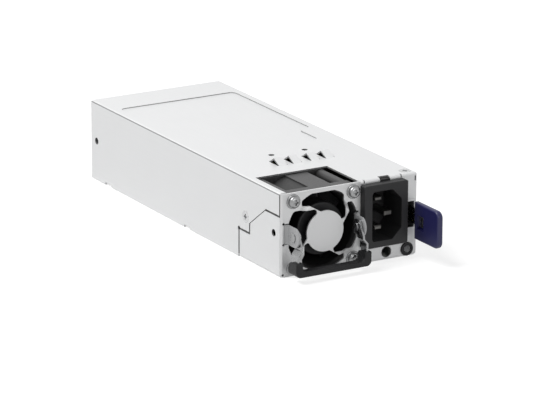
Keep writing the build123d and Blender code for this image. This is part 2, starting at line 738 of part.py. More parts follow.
def folded_cover():
    """The upper shell as one folded sheet: top, outer side walls, lip and strip round the inlet."""
    cover = block(-HALF_W, HALF_W, FRONT, REAR, 0, CASE_H)
    long_edges = cover.edges().group_by(Axis.Z)[-1].filter_by(Axis.Y)
    front_edge = cover.edges().group_by(Axis.Y)[0].sort_by(Axis.Z)[-1]
    right_edge = cover.edges().group_by(Axis.Y)[0].filter_by(Axis.Z).sort_by(Axis.X)[-1]
    cover = fillet(list(long_edges) + [front_edge, right_edge], BEND_R)
    cover -= block(-HALF_W + SHEET, HALF_W - SHEET, FRONT + SHEET, REAR + SHEET, -SHEET, LID_UNDER)

    # Front: open at the fan, a lip over the inlet, a strip down its right side
    panel_depth = SHEET + PANEL_GAP
    cover -= block(-HALF_W - SHEET, LIP_X, FRONT - SHEET, FRONT + panel_depth, -SHEET, CASE_H + SHEET)
    cover -= block(LIP_X - SHEET, STRIP_X, FRONT - SHEET, FRONT + panel_depth, -SHEET, CASE_H - LIP_H)
    cover -= block(0, HALF_W + SHEET, FRONT - SHEET, FRONT + BEND_R + PANEL_GAP, -SHEET, STRIP_Z)
    fan_left, fan_right = FAN_X - FAN / 2, FAN_X + FAN / 2 + FAN_OPENING_GAP
    cover -= block(fan_left, fan_right, FRONT - SHEET, FAN_OPENING_Y, LID_UNDER - SHEET, CASE_H + SHEET)
    for x in (LIP_NOTCH_X, STRIP_X):
        cover -= block(x - SLIT_W, x, FRONT - SHEET, FRONT + SLIT_DEPTH, CASE_H - LIP_H - SHEET, CASE_H + SHEET)
    cover -= block(CLIP_X - CLIP_W / 2, CLIP_X + CLIP_W / 2, FRONT - SHEET, FRONT + CLIP_DEPTH,
                   CASE_H - LIP_H - SHEET, CASE_H + SHEET)
    corner_x = HALF_W - BEND_R
    cover -= block(corner_x - SLIT_W / 2, corner_x + SLIT_W / 2, FRONT - SHEET, FRONT + 2 * SHEET,
                   CASE_H - 2 * SLIT_DEPTH - SHEET, CASE_H - SLIT_DEPTH)

    # Recess of even sheet thickness, its right side stepped in near the front
    recess = outline(
        (-RECESS_HALF_W, RECESS_FRONT),
        (RECESS_STEP_X, RECESS_FRONT),
        (RECESS_STEP_X, RECESS_STEP_Y),
        (RECESS_HALF_W, RECESS_STEP_Y),
        (RECESS_HALF_W, RECESS_REAR),
        (-RECESS_HALF_W, RECESS_REAR),
    )
    recess = fillet(recess.vertices(), RECESS_R)
    cover += along_z(recess, LID_UNDER - RECESS_D, LID_UNDER)
    cover -= along_z(recess, CASE_H - RECESS_D, CASE_H + SHEET)

    # Four lanced bridges
    top, under = CASE_H, LID_UNDER
    tent = outline(
        (BRIDGE_REAR + BRIDGE_GRIP, top),
        (BRIDGE_REAR, top),
        (BRIDGE_CREST, top + BRIDGE_H),
        (BRIDGE_FRONT, top),
        (BRIDGE_FRONT - BRIDGE_GRIP, top),
        (BRIDGE_FRONT - BRIDGE_GRIP, under),
        (BRIDGE_FRONT, under),
        (BRIDGE_CREST, under + BRIDGE_H),
        (BRIDGE_REAR, under),
        (BRIDGE_REAR + BRIDGE_GRIP, under),
    )
    for x in BRIDGE_X:
        cover -= block(x - BRIDGE_SLOT_W / 2, x + BRIDGE_SLOT_W / 2, BRIDGE_FRONT, BRIDGE_REAR,
                       LID_UNDER - SHEET, CASE_H + SHEET)
        cover += along_x(tent, x - BRIDGE_W / 2, x + BRIDGE_W / 2)
    for x in TOP_HOLE_X:
        cover -= rod_z(x, TOP_HOLE_Y, LID_UNDER - SHEET, CASE_H + SHEET, TOP_HOLE_R)

    # Left wall: room for the flush part of the base, notches in the lower edge
    cut = seam_outline(SEAM_GAP, SEAM_DIAGONAL_GAP, FRONT - SHEET, -SHEET)
    cover -= along_x(cut, -HALF_W - SHEET, -HALF_W + 1.5 * SHEET)
    cover -= rod_x(SEAM_Y1 + SEAM_GAP / 2, SEAM_Z1 + SEAM_GAP / 2, -HALF_W - SHEET,
                   -HALF_W + 1.5 * SHEET, SEAM_RELIEF_R)
    for y0, y1 in EDGE_NOTCH_Y:
        cover -= block(-HALF_W - SHEET, HALF_W + SHEET, y0, y1, -SHEET, EDGE_NOTCH_H)
    for side in (-1, 1):
        x0, x1 = sorted((side * (HALF_W - 1.5 * SHEET), side * (HALF_W + SHEET)))
        cover -= rod_x(SIDE_HOLE_REAR_Y, SIDE_HOLE_Z, x0, x1, SIDE_HOLE_R)
    for place in COVER_SCREWS:
        cover -= place * flat_head_seat()
    cover -= hook_window()
    return cover


def cover_screws():
    return [place * flat_head_screw() for place in COVER_SCREWS]


def fan_corners():
    half = FAN_PITCH / 2
    return [(FAN_X + i * half, FAN_Z + j * half) for i in (-1, 1) for j in (-1, 1)]


def fan_screws():
    """Four washer-head screws that clamp the guard panel to the fan."""
    return [Pos(x, FRONT, z) * Rot(90, 0, 0) * washer_head_screw() for x, z in fan_corners()]


def fan_flange():
    """Square outline of the fan housing's two ends."""
    return Pos(FAN_X, FAN_Z) * fillet(Rectangle(FAN, FAN).vertices(), FAN_CORNER_R)


def fan_bore(y0, y1):
    return rod_y(FAN_X, FAN_Z, y0 - SHEET, y1 + SHEET, FAN_BORE_R)


def fan_frame():
    """Front flange of the fan housing, with its flared mouth and the four screw holes."""
    y0, y1 = FAN_FRONT, FAN_FRONT + FAN_FLANGE
    frame = along_y(fan_flange(), y0, y1) - fan_bore(y0, y1)
    flare = outline((0, y0), (FAN / 2 - FAN_WALL / 2, y0), (FAN_BORE_R, y0 + FAN_CORNER_R), (0, y0 + FAN_CORNER_R))
    frame -= about_y(flare, FAN_X, FAN_Z)
    for x, z in fan_corners():
        frame -= rod_y(x, z, y0 - SHEET, y1 + SHEET, FAN_HOLE_R)
    return frame


def fan_barrel():
    """Waist of the fan housing: the round barrel and a flat band across it."""
    y0, y1 = FAN_FRONT + FAN_FLANGE, FAN_REAR - FAN_FLANGE
    waist = Circle(FAN_BORE_R + FAN_WALL)
    waist += Pos(FAN_BAND_OFFSET, 0) * Rectangle(FAN_BAND_W, FAN)
    return along_y(Pos(FAN_X, FAN_Z) * waist, y0, y1) - fan_bore(y0, y1)


def fan_posts():
    """The four corner posts between the fan housing's two flanges."""
    return [rod_y(x, z, FAN_FRONT + FAN_FLANGE, FAN_REAR - FAN_FLANGE, FAN_BOSS_R) for x, z in fan_corners()]


def fan_rear_frame():
    """Rear flange of the fan housing, with the motor base on its struts."""
    y0 = FAN_REAR - FAN_FLANGE
    frame = along_y(fan_flange(), y0, FAN_REAR) - fan_bore(y0, FAN_REAR)
    frame += rod_y(FAN_X, FAN_Z, MOTOR_FRONT, FAN_REAR, HUB_R)
    reach = rectangle(HUB_R - 1, FAN_BORE_R + FAN_WALL / 2, -STRUT_W / 2, STRUT_W / 2)
    for i in range(STRUTS):
        frame += along_y(Pos(FAN_X, FAN_Z) * Rot(0, 0, 360 / STRUTS * i) * reach, MOTOR_FRONT, FAN_REAR)
    return frame - shaft_bore()


def fan_impeller():
    """Hub cup with a rounded front edge and twisted blades, on the shaft's axis."""
    cup = outline((0, HUB_FRONT), (HUB_R, HUB_FRONT), (HUB_R, HUB_REAR), (HUB_R - HUB_WALL, HUB_REAR),
                  (HUB_R - HUB_WALL, HUB_FRONT + 2 * HUB_WALL), (0, HUB_FRONT + 2 * HUB_WALL))
    hub_edge = [v for v in cup.vertices() if v.X > HUB_R - 0.01 and v.Y < HUB_FRONT + 0.01]
    hub = about_y(fillet(hub_edge, HUB_WALL * 0.9), 0, 0)
    hub += rod_y(0, 0, HUB_FRONT + HUB_WALL, HUB_FRONT + 5 * HUB_WALL, 2 * SHAFT_R)
    hub -= rod_y(0, 0, HUB_FRONT + HUB_WALL, HUB_REAR, SHAFT_R)
    middle_y = (HUB_FRONT + HUB_REAR) / 2
    tip_r = FAN_BORE_R - FAN_TIP_GAP
    section = fillet(Rectangle(BLADE_CHORD, BLADE_T).vertices(), BLADE_T * 0.45)
    root = Plane(origin=(HUB_R - HUB_WALL / 2, middle_y, 0), x_dir=(0, 1, 0), z_dir=(1, 0, 0))
    tip = Plane(origin=(tip_r + HUB_WALL, middle_y, 0), x_dir=(0, 1, 0), z_dir=(1, 0, 0))
    blade = loft([root * Rot(0, 0, BLADE_ROOT_PITCH) * section, tip * Rot(0, 0, BLADE_TIP_PITCH) * section])
    blade &= rod_y(0, 0, HUB_FRONT, HUB_REAR, tip_r)
    for i in range(BLADES):
        hub += Rot(0, 360 / BLADES * i, 0) * blade
    return Pos(FAN_X, 0, FAN_Z) * hub


def rotor_magnet():
    """Ring magnet inside the hub cup."""
    inner = HUB_FRONT + 2 * HUB_WALL
    ring = rod_y(FAN_X, FAN_Z, inner, HUB_REAR, HUB_R - HUB_WALL)
    return ring - rod_y(FAN_X, FAN_Z, inner - 1, HUB_REAR + 1, ROTOR_IN_R)


def fan_shaft():
    return rod_y(FAN_X, FAN_Z, HUB_FRONT + HUB_WALL, FAN_REAR - MOTOR_BASE / 2 - SHAFT_FIT, SHAFT_R)


def fan_stator():
    """Wound stator and its bearing tube, standing on the fan's motor base."""
    coil_front = HUB_FRONT + 7 * HUB_WALL
    coil_rear = MOTOR_FRONT - 3
    body = rod_y(FAN_X, FAN_Z, coil_front, coil_rear, ROTOR_IN_R - AIR_GAP)
    body += rod_y(FAN_X, FAN_Z, coil_rear, MOTOR_FRONT, 3 * SHAFT_R)
    reach = ROTOR_IN_R - 2
    for i in range(STATOR_SLOTS):
        angle = radians(360 / STATOR_SLOTS * i)
        x, z = FAN_X + reach * cos(angle), FAN_Z + reach * sin(angle)
        body -= rod_y(x, z, coil_front - 1, coil_rear + 1, SLOT_R)
    return body - rod_y(FAN_X, FAN_Z, coil_front - 1, MOTOR_FRONT + 1, SHAFT_R + SHAFT_FIT)


def shaft_bore():
    """The blind end of the shaft's run, in the fan's motor base."""
    return rod_y(FAN_X, FAN_Z, MOTOR_FRONT - 1, FAN_REAR - MOTOR_BASE / 2, SHAFT_R + SHAFT_FIT)


def handle_arm(side):
    """A flat arm: round at the pivot inside the ear, jogged outwards below it, a strap into the grip."""
    front_view = outline(
        (ARM_OUTER - ARM_T, PIVOT_Z + 2 * EYE_R),
        (ARM_OUTER - ARM_T, JOG_TOP_Z),
        (ARM_OUTER - ARM_T + ARM_JOG, JOG_BOTTOM_Z),
        (ARM_OUTER - ARM_T + ARM_JOG, STRAP_BOTTOM_Z),
        (ARM_OUTER + ARM_JOG, STRAP_BOTTOM_Z),
        (ARM_OUTER + ARM_JOG, JOG_BOTTOM_Z),
        (ARM_OUTER, JOG_TOP_Z),
        (ARM_OUTER, PIVOT_Z + 2 * EYE_R),
    )
    bends = [v for v in front_view.vertices() if JOG_BOTTOM_Z - 0.1 < v.Y < JOG_TOP_Z + 0.1]
    front_view = fillet(bends, ARM_T * 0.6)
    side_view = outline(
        (PIVOT_Y - EYE_R, PIVOT_Z),
        (STRAP_FRONT, PIVOT_Z - EYE_R),
        (STRAP_FRONT, STRAP_BOTTOM_Z),
        (STRAP_REAR, STRAP_BOTTOM_Z),
        (STRAP_REAR, JOG_TOP_Z),
        (PIVOT_Y, PIVOT_Z - EYE_R),
        (PIVOT_Y, PIVOT_Z),
    )
    side_view += Pos(PIVOT_Y, PIVOT_Z) * Circle(EYE_R)
    arm = along_y(front_view, STRAP_FRONT - 1, PIVOT_Y + 2 * EYE_R)
    arm &= along_x(side_view, 0, EAR_OUTER + 2 * ARM_JOG)
    arm -= rod_x(PIVOT_Y, PIVOT_Z, ARM_OUTER - 2 * ARM_T, EAR_OUTER, PIVOT_R + PIVOT_FIT)
    if side < 0:
        arm = mirror(arm, Plane.YZ)
    return Pos(HANDLE_X, 0, 0) * arm


def handle_grip():
    """Moulded U-shaped grip: deep legs over the ends of the arms, a shallower bar between them."""
    outer = rectangle(-GRIP_HALF, GRIP_HALF, GRIP_Z0, GRIP_Z1)
    outer = fillet(outer.vertices().sort_by(Axis.Y)[:2], GRIP_R)
    inner_half = GRIP_HALF - GRIP_LEG
    inner = rectangle(-inner_half, inner_half, GRIP_Z0 + GRIP_BAR, GRIP_Z1 + GRIP_BAR)
    inner = fillet(inner.vertices().sort_by(Axis.Y)[:2], GRIP_INNER_R)
    grip = along_y(outer - inner, GRIP_FRONT, GRIP_REAR)
    hollow = rectangle(-inner_half, inner_half, GRIP_BAR_REAR, GRIP_REAR + GRIP_LEG)
    hollow = fillet(hollow.vertices().sort_by(Axis.Y)[:2], GRIP_INNER_R)
    grip -= along_z(hollow, GRIP_Z0 - 1, GRIP_Z0 + GRIP_BAR + GRIP_INNER_R)
    tops = grip.edges().filter_by(Axis.X).filter_by(lambda e: e.center().Y > GRIP_REAR - 0.01 and e.center().Z > GRIP_Z1 - 0.01)
    grip = fillet(tops, GRIP_TOP_R)
    rim = grip.edges().filter_by(lambda e: e.center().Y < GRIP_FRONT + 0.01)
    grip = Pos(HANDLE_X, 0, 0) * fillet(rim, GRIP_EDGE)
    for side in (-1, 1):
        grip -= handle_arm(side)
    return grip


def pivot_rivet(side):
    """Shoulder rivet: flat head outside the ear, shank through ear and arm, clinched tail inside."""
    ear_face = EAR_OUTER
    tail_face = ARM_OUTER - ARM_T - ARM_GAP
    rivet = rod_x(PIVOT_Y, PIVOT_Z, ear_face, ear_face + RIVET_HEAD_H, RIVET_HEAD_R)
    rivet += rod_x(PIVOT_Y, PIVOT_Z, tail_face - RIVET_TAIL_H, ear_face, PIVOT_R)
    rivet += rod_x(PIVOT_Y, PIVOT_Z, tail_face - RIVET_TAIL_H, tail_face, RIVET_HEAD_R - ARM_GAP)
    if side < 0:
        rivet = mirror(rivet, Plane.YZ)
    return Pos(HANDLE_X, 0, 0) * rivet


def inlet_outline(inset):
    face = rectangle(INLET_X0 + inset, INLET_X1 - inset, INLET_Z0 + inset, INLET_Z1 - inset)
    return fillet(face.vertices(), INLET_R)


def inlet_body_outline(grow):
    return inlet_outline(INLET_BODY_INSET - grow)


def socket_outline():
    """The keyed mouth of the inlet: two corners cut off on the earth side."""
    x0, x1 = SOCKET_X - SOCKET_W / 2, SOCKET_X + SOCKET_W / 2
    z0, z1 = SOCKET_Z - SOCKET_H / 2, SOCKET_Z + SOCKET_H / 2
    cut = SOCKET_CHAMFER
    mouth = outline((x0, z0), (x1 - cut, z0), (x1, z0 + cut), (x1, z1 - cut), (x1 - cut, z1), (x0, z1))
    return fillet(mouth.vertices(), SOCKET_R)


def inlet_pin_places():
    """Each pin's x, z and the depth of its tip behind the inlet's face."""
    line_x, earth_x = SOCKET_X - PIN_SHIFT, SOCKET_X + PIN_SHIFT
    return (
        (line_x, SOCKET_Z + PIN_PITCH / 2, LINE_PIN_SET),
        (line_x, SOCKET_Z - PIN_PITCH / 2, LINE_PIN_SET),
        (earth_x, SOCKET_Z, EARTH_PIN_SET),
    )


def inlet_housing():
    """Moulded inlet: bevelled flange in front of the panel, body behind it, keyed mouth."""
    flange = along_y(inlet_outline(0), INLET_FACE, FRONT)
    flange = fillet(flange.edges().group_by(Axis.Y)[0], INLET_EDGE)
    body = along_y(inlet_body_outline(0), FRONT, INLET_BACK)
    clip = block(CLIP_X - CLIP_W / 2 + INLET_FIT, CLIP_X + CLIP_W / 2 - INLET_FIT,
                 FRONT - INLET_FIT, FRONT + CLIP_DEPTH - INLET_FIT, INLET_Z1 - INLET_BODY_INSET - 1, CASE_H - CLIP_DROP)
    housing = flange + body + clip
    housing -= along_y(socket_outline(), INLET_FACE - 1, SOCKET_FLOOR)
    for x, z, _ in inlet_pin_places():
        housing -= block(x - PIN_W / 2, x + PIN_W / 2, SOCKET_FLOOR - 1, INLET_BACK + 1, z - PIN_T / 2, z + PIN_T / 2)
    return housing


def inlet_pins():
    """Three flat pins with bevelled tips, each with a solder terminal behind the housing."""
    pins = []
    for x, z, tip_set in inlet_pin_places():
        tip = INLET_FACE + tip_set
        blade = block(x - PIN_W / 2, x + PIN_W / 2, tip, INLET_BACK, z - PIN_T / 2, z + PIN_T / 2)
        blade = chamfer(blade.edges().group_by(Axis.Y)[0], PIN_T * 0.22)
        tail = block(x - PIN_W / 2, x + PIN_W / 2, INLET_BACK, INLET_BACK + TERMINAL_LEN,
                     z - TERMINAL_T / 2, z + TERMINAL_T / 2)
        tail -= rod_z(x, INLET_BACK + TERMINAL_LEN * 0.6, z - 1, z + 1, PIN_W / 5)
        pins.append(blade + tail)
    return pins


def led_bezel():
    """Short dark bush in the panel that holds the light pipe."""
    ring = rod_y(LED_X, LED_Z, FRONT - LED_RING_PROUD, FRONT, LED_RING_R)
    ring = fillet(ring.edges().group_by(Axis.Y)[0], LED_RING_PROUD / 2)
    ring += rod_y(LED_X, LED_Z, FRONT, FRONT + 3 * SHEET, LED_SEAT_R)
    return ring - rod_y(LED_X, LED_Z, FRONT - 2, FRONT + 5, LED_PIPE_R + LED_FIT)


def light_pipe():
    """Clear rod with a domed front end, back to the lamp under the board."""
    pipe = rod_y(LED_X, LED_Z, FRONT - LED_RING_PROUD, FRONT - LED_RING_PROUD + LED_PIPE_LEN, LED_PIPE_R)
    return fillet(pipe.edges().group_by(Axis.Y)[0], LED_PIPE_R * 0.4)


def latch_foot():
    """Fixed end of the latch spring, against the right wall, stepping in to the leaf's plane."""
    y0 = LEAF_PIVOT_Y + LEAF_SPLIT
    step = 2 * LEAF_T
    plan = outline(
        (LEAF_X0, y0),
        (LEAF_X1, y0),
        (LEAF_X1, y0 + step),
        (INSIDE_HALF, y0 + 2 * step),
        (INSIDE_HALF, LEAF_PIVOT_Y + FOOT_LEN),
        (INSIDE_HALF - LEAF_T, LEAF_PIVOT_Y + FOOT_LEN),
        (INSIDE_HALF - LEAF_T, y0 + 2 * step),
        (LEAF_X0, y0 + step),
    )
    foot = along_z(plan, LEAF_Z0, LEAF_Z1)
    for y in latch_rivet_places():
        foot -= rod_x(y, (LEAF_Z0 + LEAF_Z1) / 2, LEAF_X0 - 1, INSIDE_HALF + 1, LATCH_RIVET_R)
    return foot


def latch_rivets():
    """Two round-head rivets that hold the latch spring to the right inner wall."""
    z = (LEAF_Z0 + LEAF_Z1) / 2
    seat = INSIDE_HALF - LEAF_T
    rivets = []
    for y in latch_rivet_places():
        head = rod_x(y, z, seat - LATCH_RIVET_HEAD_H, seat, LATCH_RIVET_HEAD_R)
        head = fillet(head.edges().group_by(Axis.X)[0], LATCH_RIVET_HEAD_H * 0.7)
        rivets.append(head + rod_x(y, z, seat, BASE_HALF, LATCH_RIVET_R))
    return rivets


def latch_arm():
    """Moving leaf of the latch: hook through the wall, and a tongue out of the slot into the tab."""
    arm = block(LEAF_X0, LEAF_X1, TAB_REAR - LEAF_IN_TAB, LEAF_PIVOT_Y, LEAF_Z0, LEAF_Z1)
    reach = HALF_W + HOOK_REACH
    back = HOOK_FRONT + HOOK_LEN
    hook = outline(
        (LEAF_X1 - LEAF_T / 2, HOOK_FRONT),
        (reach, HOOK_FRONT),
        (reach, HOOK_FRONT + HOOK_LAND),
        (LEAF_X1 - LEAF_T / 2, back),
        (LEAF_X1 - LEAF_T / 2, back - 2 * LEAF_T),
        (reach - LEAF_T, HOOK_FRONT + HOOK_LAND - LEAF_T / 4),
        (reach - LEAF_T, HOOK_FRONT + LEAF_T),
        (LEAF_X1 - LEAF_T / 2, HOOK_FRONT + LEAF_T),
    )
    return arm + along_z(hook, LEAF_Z0, LEAF_Z1)


def latch_tab():
    """Moulded thumb tab on the front of the latch, with a window that shows the steel."""
    leaf_middle = (LEAF_X0 + LEAF_X1) / 2
    face = rectangle(TAB_FRONT, TAB_REAR, TAB_Z0, TAB_Z1)
    face = fillet(face.vertices().group_by(Axis.X)[0], TAB_R)
    tab = along_x(face, leaf_middle - TAB_T / 2, leaf_middle + TAB_T / 2)
    rims = [e for e in tab.edges() if abs(abs(e.center().X - leaf_middle) - TAB_T / 2) < 0.01]
    tab = fillet(rims, TAB_EDGE)
    tab -= block(leaf_middle - TAB_T, leaf_middle, TAB_WINDOW_Y0, TAB_WINDOW_Y1, TAB_WINDOW_Z0, TAB_WINDOW_Z1)
    tab -= block(LEAF_X0, LEAF_X1, TAB_REAR - LEAF_IN_TAB, TAB_REAR + 1, LEAF_Z0, LEAF_Z1)
    return tab


def main_board():
    """Circuit board with a wing beside the fan and a card-edge tongue out of the rear."""
    half = INSIDE_HALF - BOARD_SIDE_GAP
    rear = REAR - SHEET - BOARD_REAR_GAP
    plan = rectangle(-half, half, BOARD_FRONT, rear)
    plan += rectangle(BOARD_WING_X0, BOARD_WING_X1, BOARD_WING_FRONT, BOARD_FRONT)
    plan += rectangle(-TONGUE_HALF, TONGUE_HALF, rear, REAR + TONGUE_REACH)
    board = along_z(plan, BOARD_Z, BOARD_TOP)
    lead_in = board.edges().group_by(Axis.Y)[-1].filter_by(Axis.X)
    board = chamfer(lead_in, BOARD_T * 0.3)
    for x, y in STANDOFF_PLACES:
        board -= rod_z(x, y, BOARD_Z - 1, BOARD_TOP + 1, BOARD_SCREW_R + SCREW_FIT)
    return board


def edge_contacts():
    """Gold contact strips on both faces of the tongue."""
    strips = []
    rear = REAR + TONGUE_REACH - BOARD_T
    for i in range(CONTACTS):
        x = (i - (CONTACTS - 1) / 2) * CONTACT_PITCH
        for z0 in (BOARD_TOP, BOARD_Z - CONTACT_T):
            strips.append(block(x - CONTACT_W / 2, x + CONTACT_W / 2, rear - CONTACT_LEN, rear, z0, z0 + CONTACT_T))
    return strips


def board_standoffs():
    posts = []
    for x, y in STANDOFF_PLACES:
        post = rod_z(x, y, SHEET, BOARD_Z, STANDOFF_R) + rod_z(x, y, 0, SHEET, STANDOFF_R - LINER_HOLE_GAP)
        posts.append(post - rod_z(x, y, -1, BOARD_Z + 1, BOARD_SCREW_R))
    return posts


def board_screws():
    length = BOARD_Z - SHEET + BOARD_T
    screw = pan_head_screw(BOARD_SCREW_HEAD_R, BOARD_SCREW_HEAD_H, BOARD_SCREW_R, length)
    return [Pos(x, y, BOARD_TOP) * screw for x, y in STANDOFF_PLACES]


def insulation_liner():
    """Thin folded sheet that keeps the board's underside off the metal."""
    half = INSIDE_HALF
    y1 = REAR - SHEET - BOARD_REAR_GAP
    profile = rectangle(-half, half, SHEET, LINER_SIDE_H)
    profile = fillet(profile.vertices().sort_by(Axis.Y)[:2], BEND_R - SHEET)
    profile -= rectangle(-half + LINER_T, half - LINER_T, SHEET + LINER_T, LINER_SIDE_H + 1)
    liner = along_y(profile, BOARD_FRONT, y1)
    foot_clear = LEAF_PIVOT_Y + FOOT_LEN + 1
    liner -= block(half - 1, half + 1, BOARD_FRONT - 1, foot_clear, LEAF_Z0 - FOOT_Z_GROW, LINER_SIDE_H + 1)
    for x, y in STANDOFF_PLACES:
        liner -= rod_z(x, y, 0, BOARD_Z, STANDOFF_R + LINER_HOLE_GAP)
    return liner


def bulk_capacitor():
    """Large mains capacitor lying along the case, held in its plastic seat."""
    length = CAN_REAR - CAN_FRONT
    profile = rectangle(0, CAN_R, 0, length)
    profile = fillet(profile.vertices().group_by(Axis.X)[-1], CAN_EDGE_R)
    profile -= outline((CAN_R - CAN_GROOVE, 4.0), (CAN_R + 1, 3.3), (CAN_R + 1, 4.7))
    return Pos(CAN_X, CAN_FRONT, BOARD_TOP + CAN_R + CAN_GAP) * revolve(profile, Axis.Y)


def capacitor_seat():
    """Plastic cradle under the lying capacitor."""
    y0, y1 = CAN_FRONT + CRADLE_INSET, CAN_REAR - CRADLE_INSET
    cradle = block(CAN_X - CRADLE_W / 2, CAN_X + CRADLE_W / 2, y0, y1, BOARD_TOP, BOARD_TOP + CRADLE_H)
    return cradle - rod_y(CAN_X, BOARD_TOP + CAN_R + CAN_GAP, CAN_FRONT, CAN_REAR, CAN_R)


def emi_chokes():
    """Two common-mode chokes: a ring core with two windings, on a foot plate each."""
    chokes = []
    z0 = BOARD_TOP + CHOKE_FOOT_T
    first_y = BOARD_WING_FRONT + 2 * X_CAP_PITCH + CHOKE_FOOT / 2 + 3.0
    for y in (first_y, first_y + CHOKE_PITCH):
        choke = Pos(CHOKE_X, y, BOARD_TOP + CHOKE_FOOT_T / 2) * Box(CHOKE_FOOT, CHOKE_FOOT, CHOKE_FOOT_T)
        choke += rod_z(CHOKE_X, y, z0, z0 + CHOKE_H, CHOKE_OUT_R)
        turn = block(CHOKE_IN_R - WIRE_T, CHOKE_OUT_R + WIRE_T, -WIRE_W / 2, WIRE_W / 2, 0, CHOKE_H + WIRE_T)
        for i in range(CHOKE_TURNS):
            for half in (0, 180):
                angle = half + (i - (CHOKE_TURNS - 1) / 2) * 14
                choke += Pos(CHOKE_X, y, z0) * Rot(0, 0, angle) * turn
        chokes.append(choke - rod_z(CHOKE_X, y, z0, z0 + 2 * CHOKE_H, CHOKE_IN_R - WIRE_T))
    return chokes


def x_capacitors():
    """Boxed film capacitors across the mains, behind the inlet."""
    boxes = []
    for i in range(2):
        y = BOARD_WING_FRONT + 4.0 + i * X_CAP_PITCH
        box = block(CHOKE_X - 5, CHOKE_X - 5 + X_CAP_W, y, y + X_CAP_D, BOARD_TOP, BOARD_TOP + X_CAP_H)
        boxes.append(fillet(box.edges().group_by(Axis.Z)[-1], X_CAP_D / 10))
    return boxes


def relay():
    y = BOARD_FRONT + 2.0
    body = block(RELAY_X0, RELAY_X0 + RELAY_W, y, y + RELAY_D, BOARD_TOP, BOARD_TOP + RELAY_H)
    return fillet(body.edges().group_by(Axis.Z)[-1], RELAY_D / 18)


def fuse():
    """Ceramic fuse between two end caps, soldered upright legs."""
    body = rod_x(FUSE_Y, FUSE_Z, FUSE_X0, FUSE_X0 + FUSE_LEN, FUSE_R)
    for x in (FUSE_X0, FUSE_X0 + FUSE_LEN - FUSE_CAP):
        body += rod_x(FUSE_Y, FUSE_Z, x, x + FUSE_CAP, FUSE_R + FUSE_CAP_T)
        body += rod_z(x + FUSE_CAP / 2, FUSE_Y, BOARD_TOP, FUSE_Z, 0.5)
    return body


def bridge_rectifier():
    """Flat four-lead rectifier against the primary heatsink."""
    x0, y0, y1 = SINK_X0 - RECTIFIER_T, MID_FRONT + 2.0, MID_REAR - 18.0
    body = block(x0, SINK_X0, y0, y1, BOARD_TOP + 1, BOARD_TOP + 1 + RECTIFIER_H)
    middle = x0 + RECTIFIER_T / 2
    return body + block(middle - LEAD_T, middle + LEAD_T, y0 + 1, y1 - 1, BOARD_TOP, BOARD_TOP + 1)


def finned_heatsink(x0, x1, y0, y1, height, fins):
    """Upright plate with fins across the air flow's top edge."""
    sink = block(x0, x0 + SINK_PLATE, y0, y1, BOARD_TOP, BOARD_TOP + height)
    for i in range(fins):
        z = BOARD_TOP + height - SINK_FIN - i * (height - SINK_FOOT) / fins
        sink += block(x0, x1, y0, y1, z, z + SINK_FIN)
    return sink


def primary_heatsink():
    return finned_heatsink(SINK_X0, SINK_X0 + SINK_W, MID_FRONT, MID_REAR, SINK_H, 6)


def secondary_heatsink():
    return finned_heatsink(OUT_SINK_X0, OUT_SINK_X0 + OUT_SINK_W, OUT_SINK_Y0, OUT_SINK_Y1, OUT_SINK_H, 5)


def power_transistors():
    """Three power transistors on the far side of the primary heatsink."""
    bodies = []
    x0 = SINK_X0 - TRANSISTOR_T
    half = TRANSISTOR_W / 2
    foot = BOARD_TOP + 4.0
    for i in range(3):
        y = MID_REAR - 14.0 + i * TRANSISTOR_PITCH
        body = block(x0, SINK_X0, y - half, y + half, foot, foot + TRANSISTOR_H)
        lead_x = SINK_X0 - TRANSISTOR_T / 2
        bodies.append(body + block(lead_x, lead_x + LEAD_T, y - half + 0.6, y + half - 0.6, BOARD_TOP, foot))
    return bodies


def cored_coil(x0, x1, y0, y1, height):
    """A ferrite frame with a window right through along X, and the block of wire in the window."""
    z0, z1 = BOARD_TOP + CORE_YOKE, BOARD_TOP + height - CORE_YOKE
    leg = CORE_YOKE + 1
    core = block(x0, x1, y0, y1, BOARD_TOP, BOARD_TOP + height)
    core -= block(x0 - 1, x1 + 1, y0 + leg, y1 - leg, z0, z1)
    winding = block(x0 - 0.8, x1 + 0.8, y0 + leg + 1, y1 - leg - 1, z0, z1)
    return core, fillet(winding.edges().filter_by(Axis.Y), 2.5)


def boost_choke():
    """Boxed inductor: ferrite halves round an exposed winding."""
    return cored_coil(BOOST_X1 - BOOST_W, BOOST_X1, MID_FRONT + 4.0, MID_REAR - 6.0, BOOST_H)


def main_transformer():
    """Power transformer: ferrite frame and the winding stack through it."""
    x0, x1 = TRANSFORMER_X1 - TRANSFORMER_W, TRANSFORMER_X1
    y0, y1 = TRANSFORMER_Y0, TRANSFORMER_Y0 + TRANSFORMER_D
    z0, z1 = BOARD_TOP + CORE_YOKE, BOARD_TOP + TRANSFORMER_H - CORE_YOKE
    leg = CORE_YOKE + 1
    core = block(x0, x1, y0, y1, BOARD_TOP, BOARD_TOP + TRANSFORMER_H)
    core -= block(x0 + leg, x1 - leg, y0 - 1, y1 + 1, z0, z1)
    winding = block(x0 + leg + 0.5, x1 - leg - 0.5, y0 - WINDING_PROUD, y1 + WINDING_PROUD, z0, z1)
    return core, fillet(winding.edges().filter_by(Axis.Z), 2.0)


def output_capacitors():
    """Upright electrolytic capacitors, each with the rolled groove near its foot."""
    r, h = OUT_CAN_R, OUT_CAN_H
    profile = outline((0, 0), (r, 0), (r, 1.2), (r * 0.93, 1.6), (r, 2.0), (r, h), (0, h))
    top = [v for v in profile.vertices() if v.Y > h - 0.01 and v.X > r - 0.01]
    can = revolve(Plane.XZ * fillet(top, r * 0.12), Axis.Z)
    return [Pos(OUT_CAN_X0 + i * OUT_CAN_X_PITCH, OUT_CAN_Y0 + j * OUT_CAN_Y_PITCH, BOARD_TOP) * can
            for i in range(3) for j in range(3)]


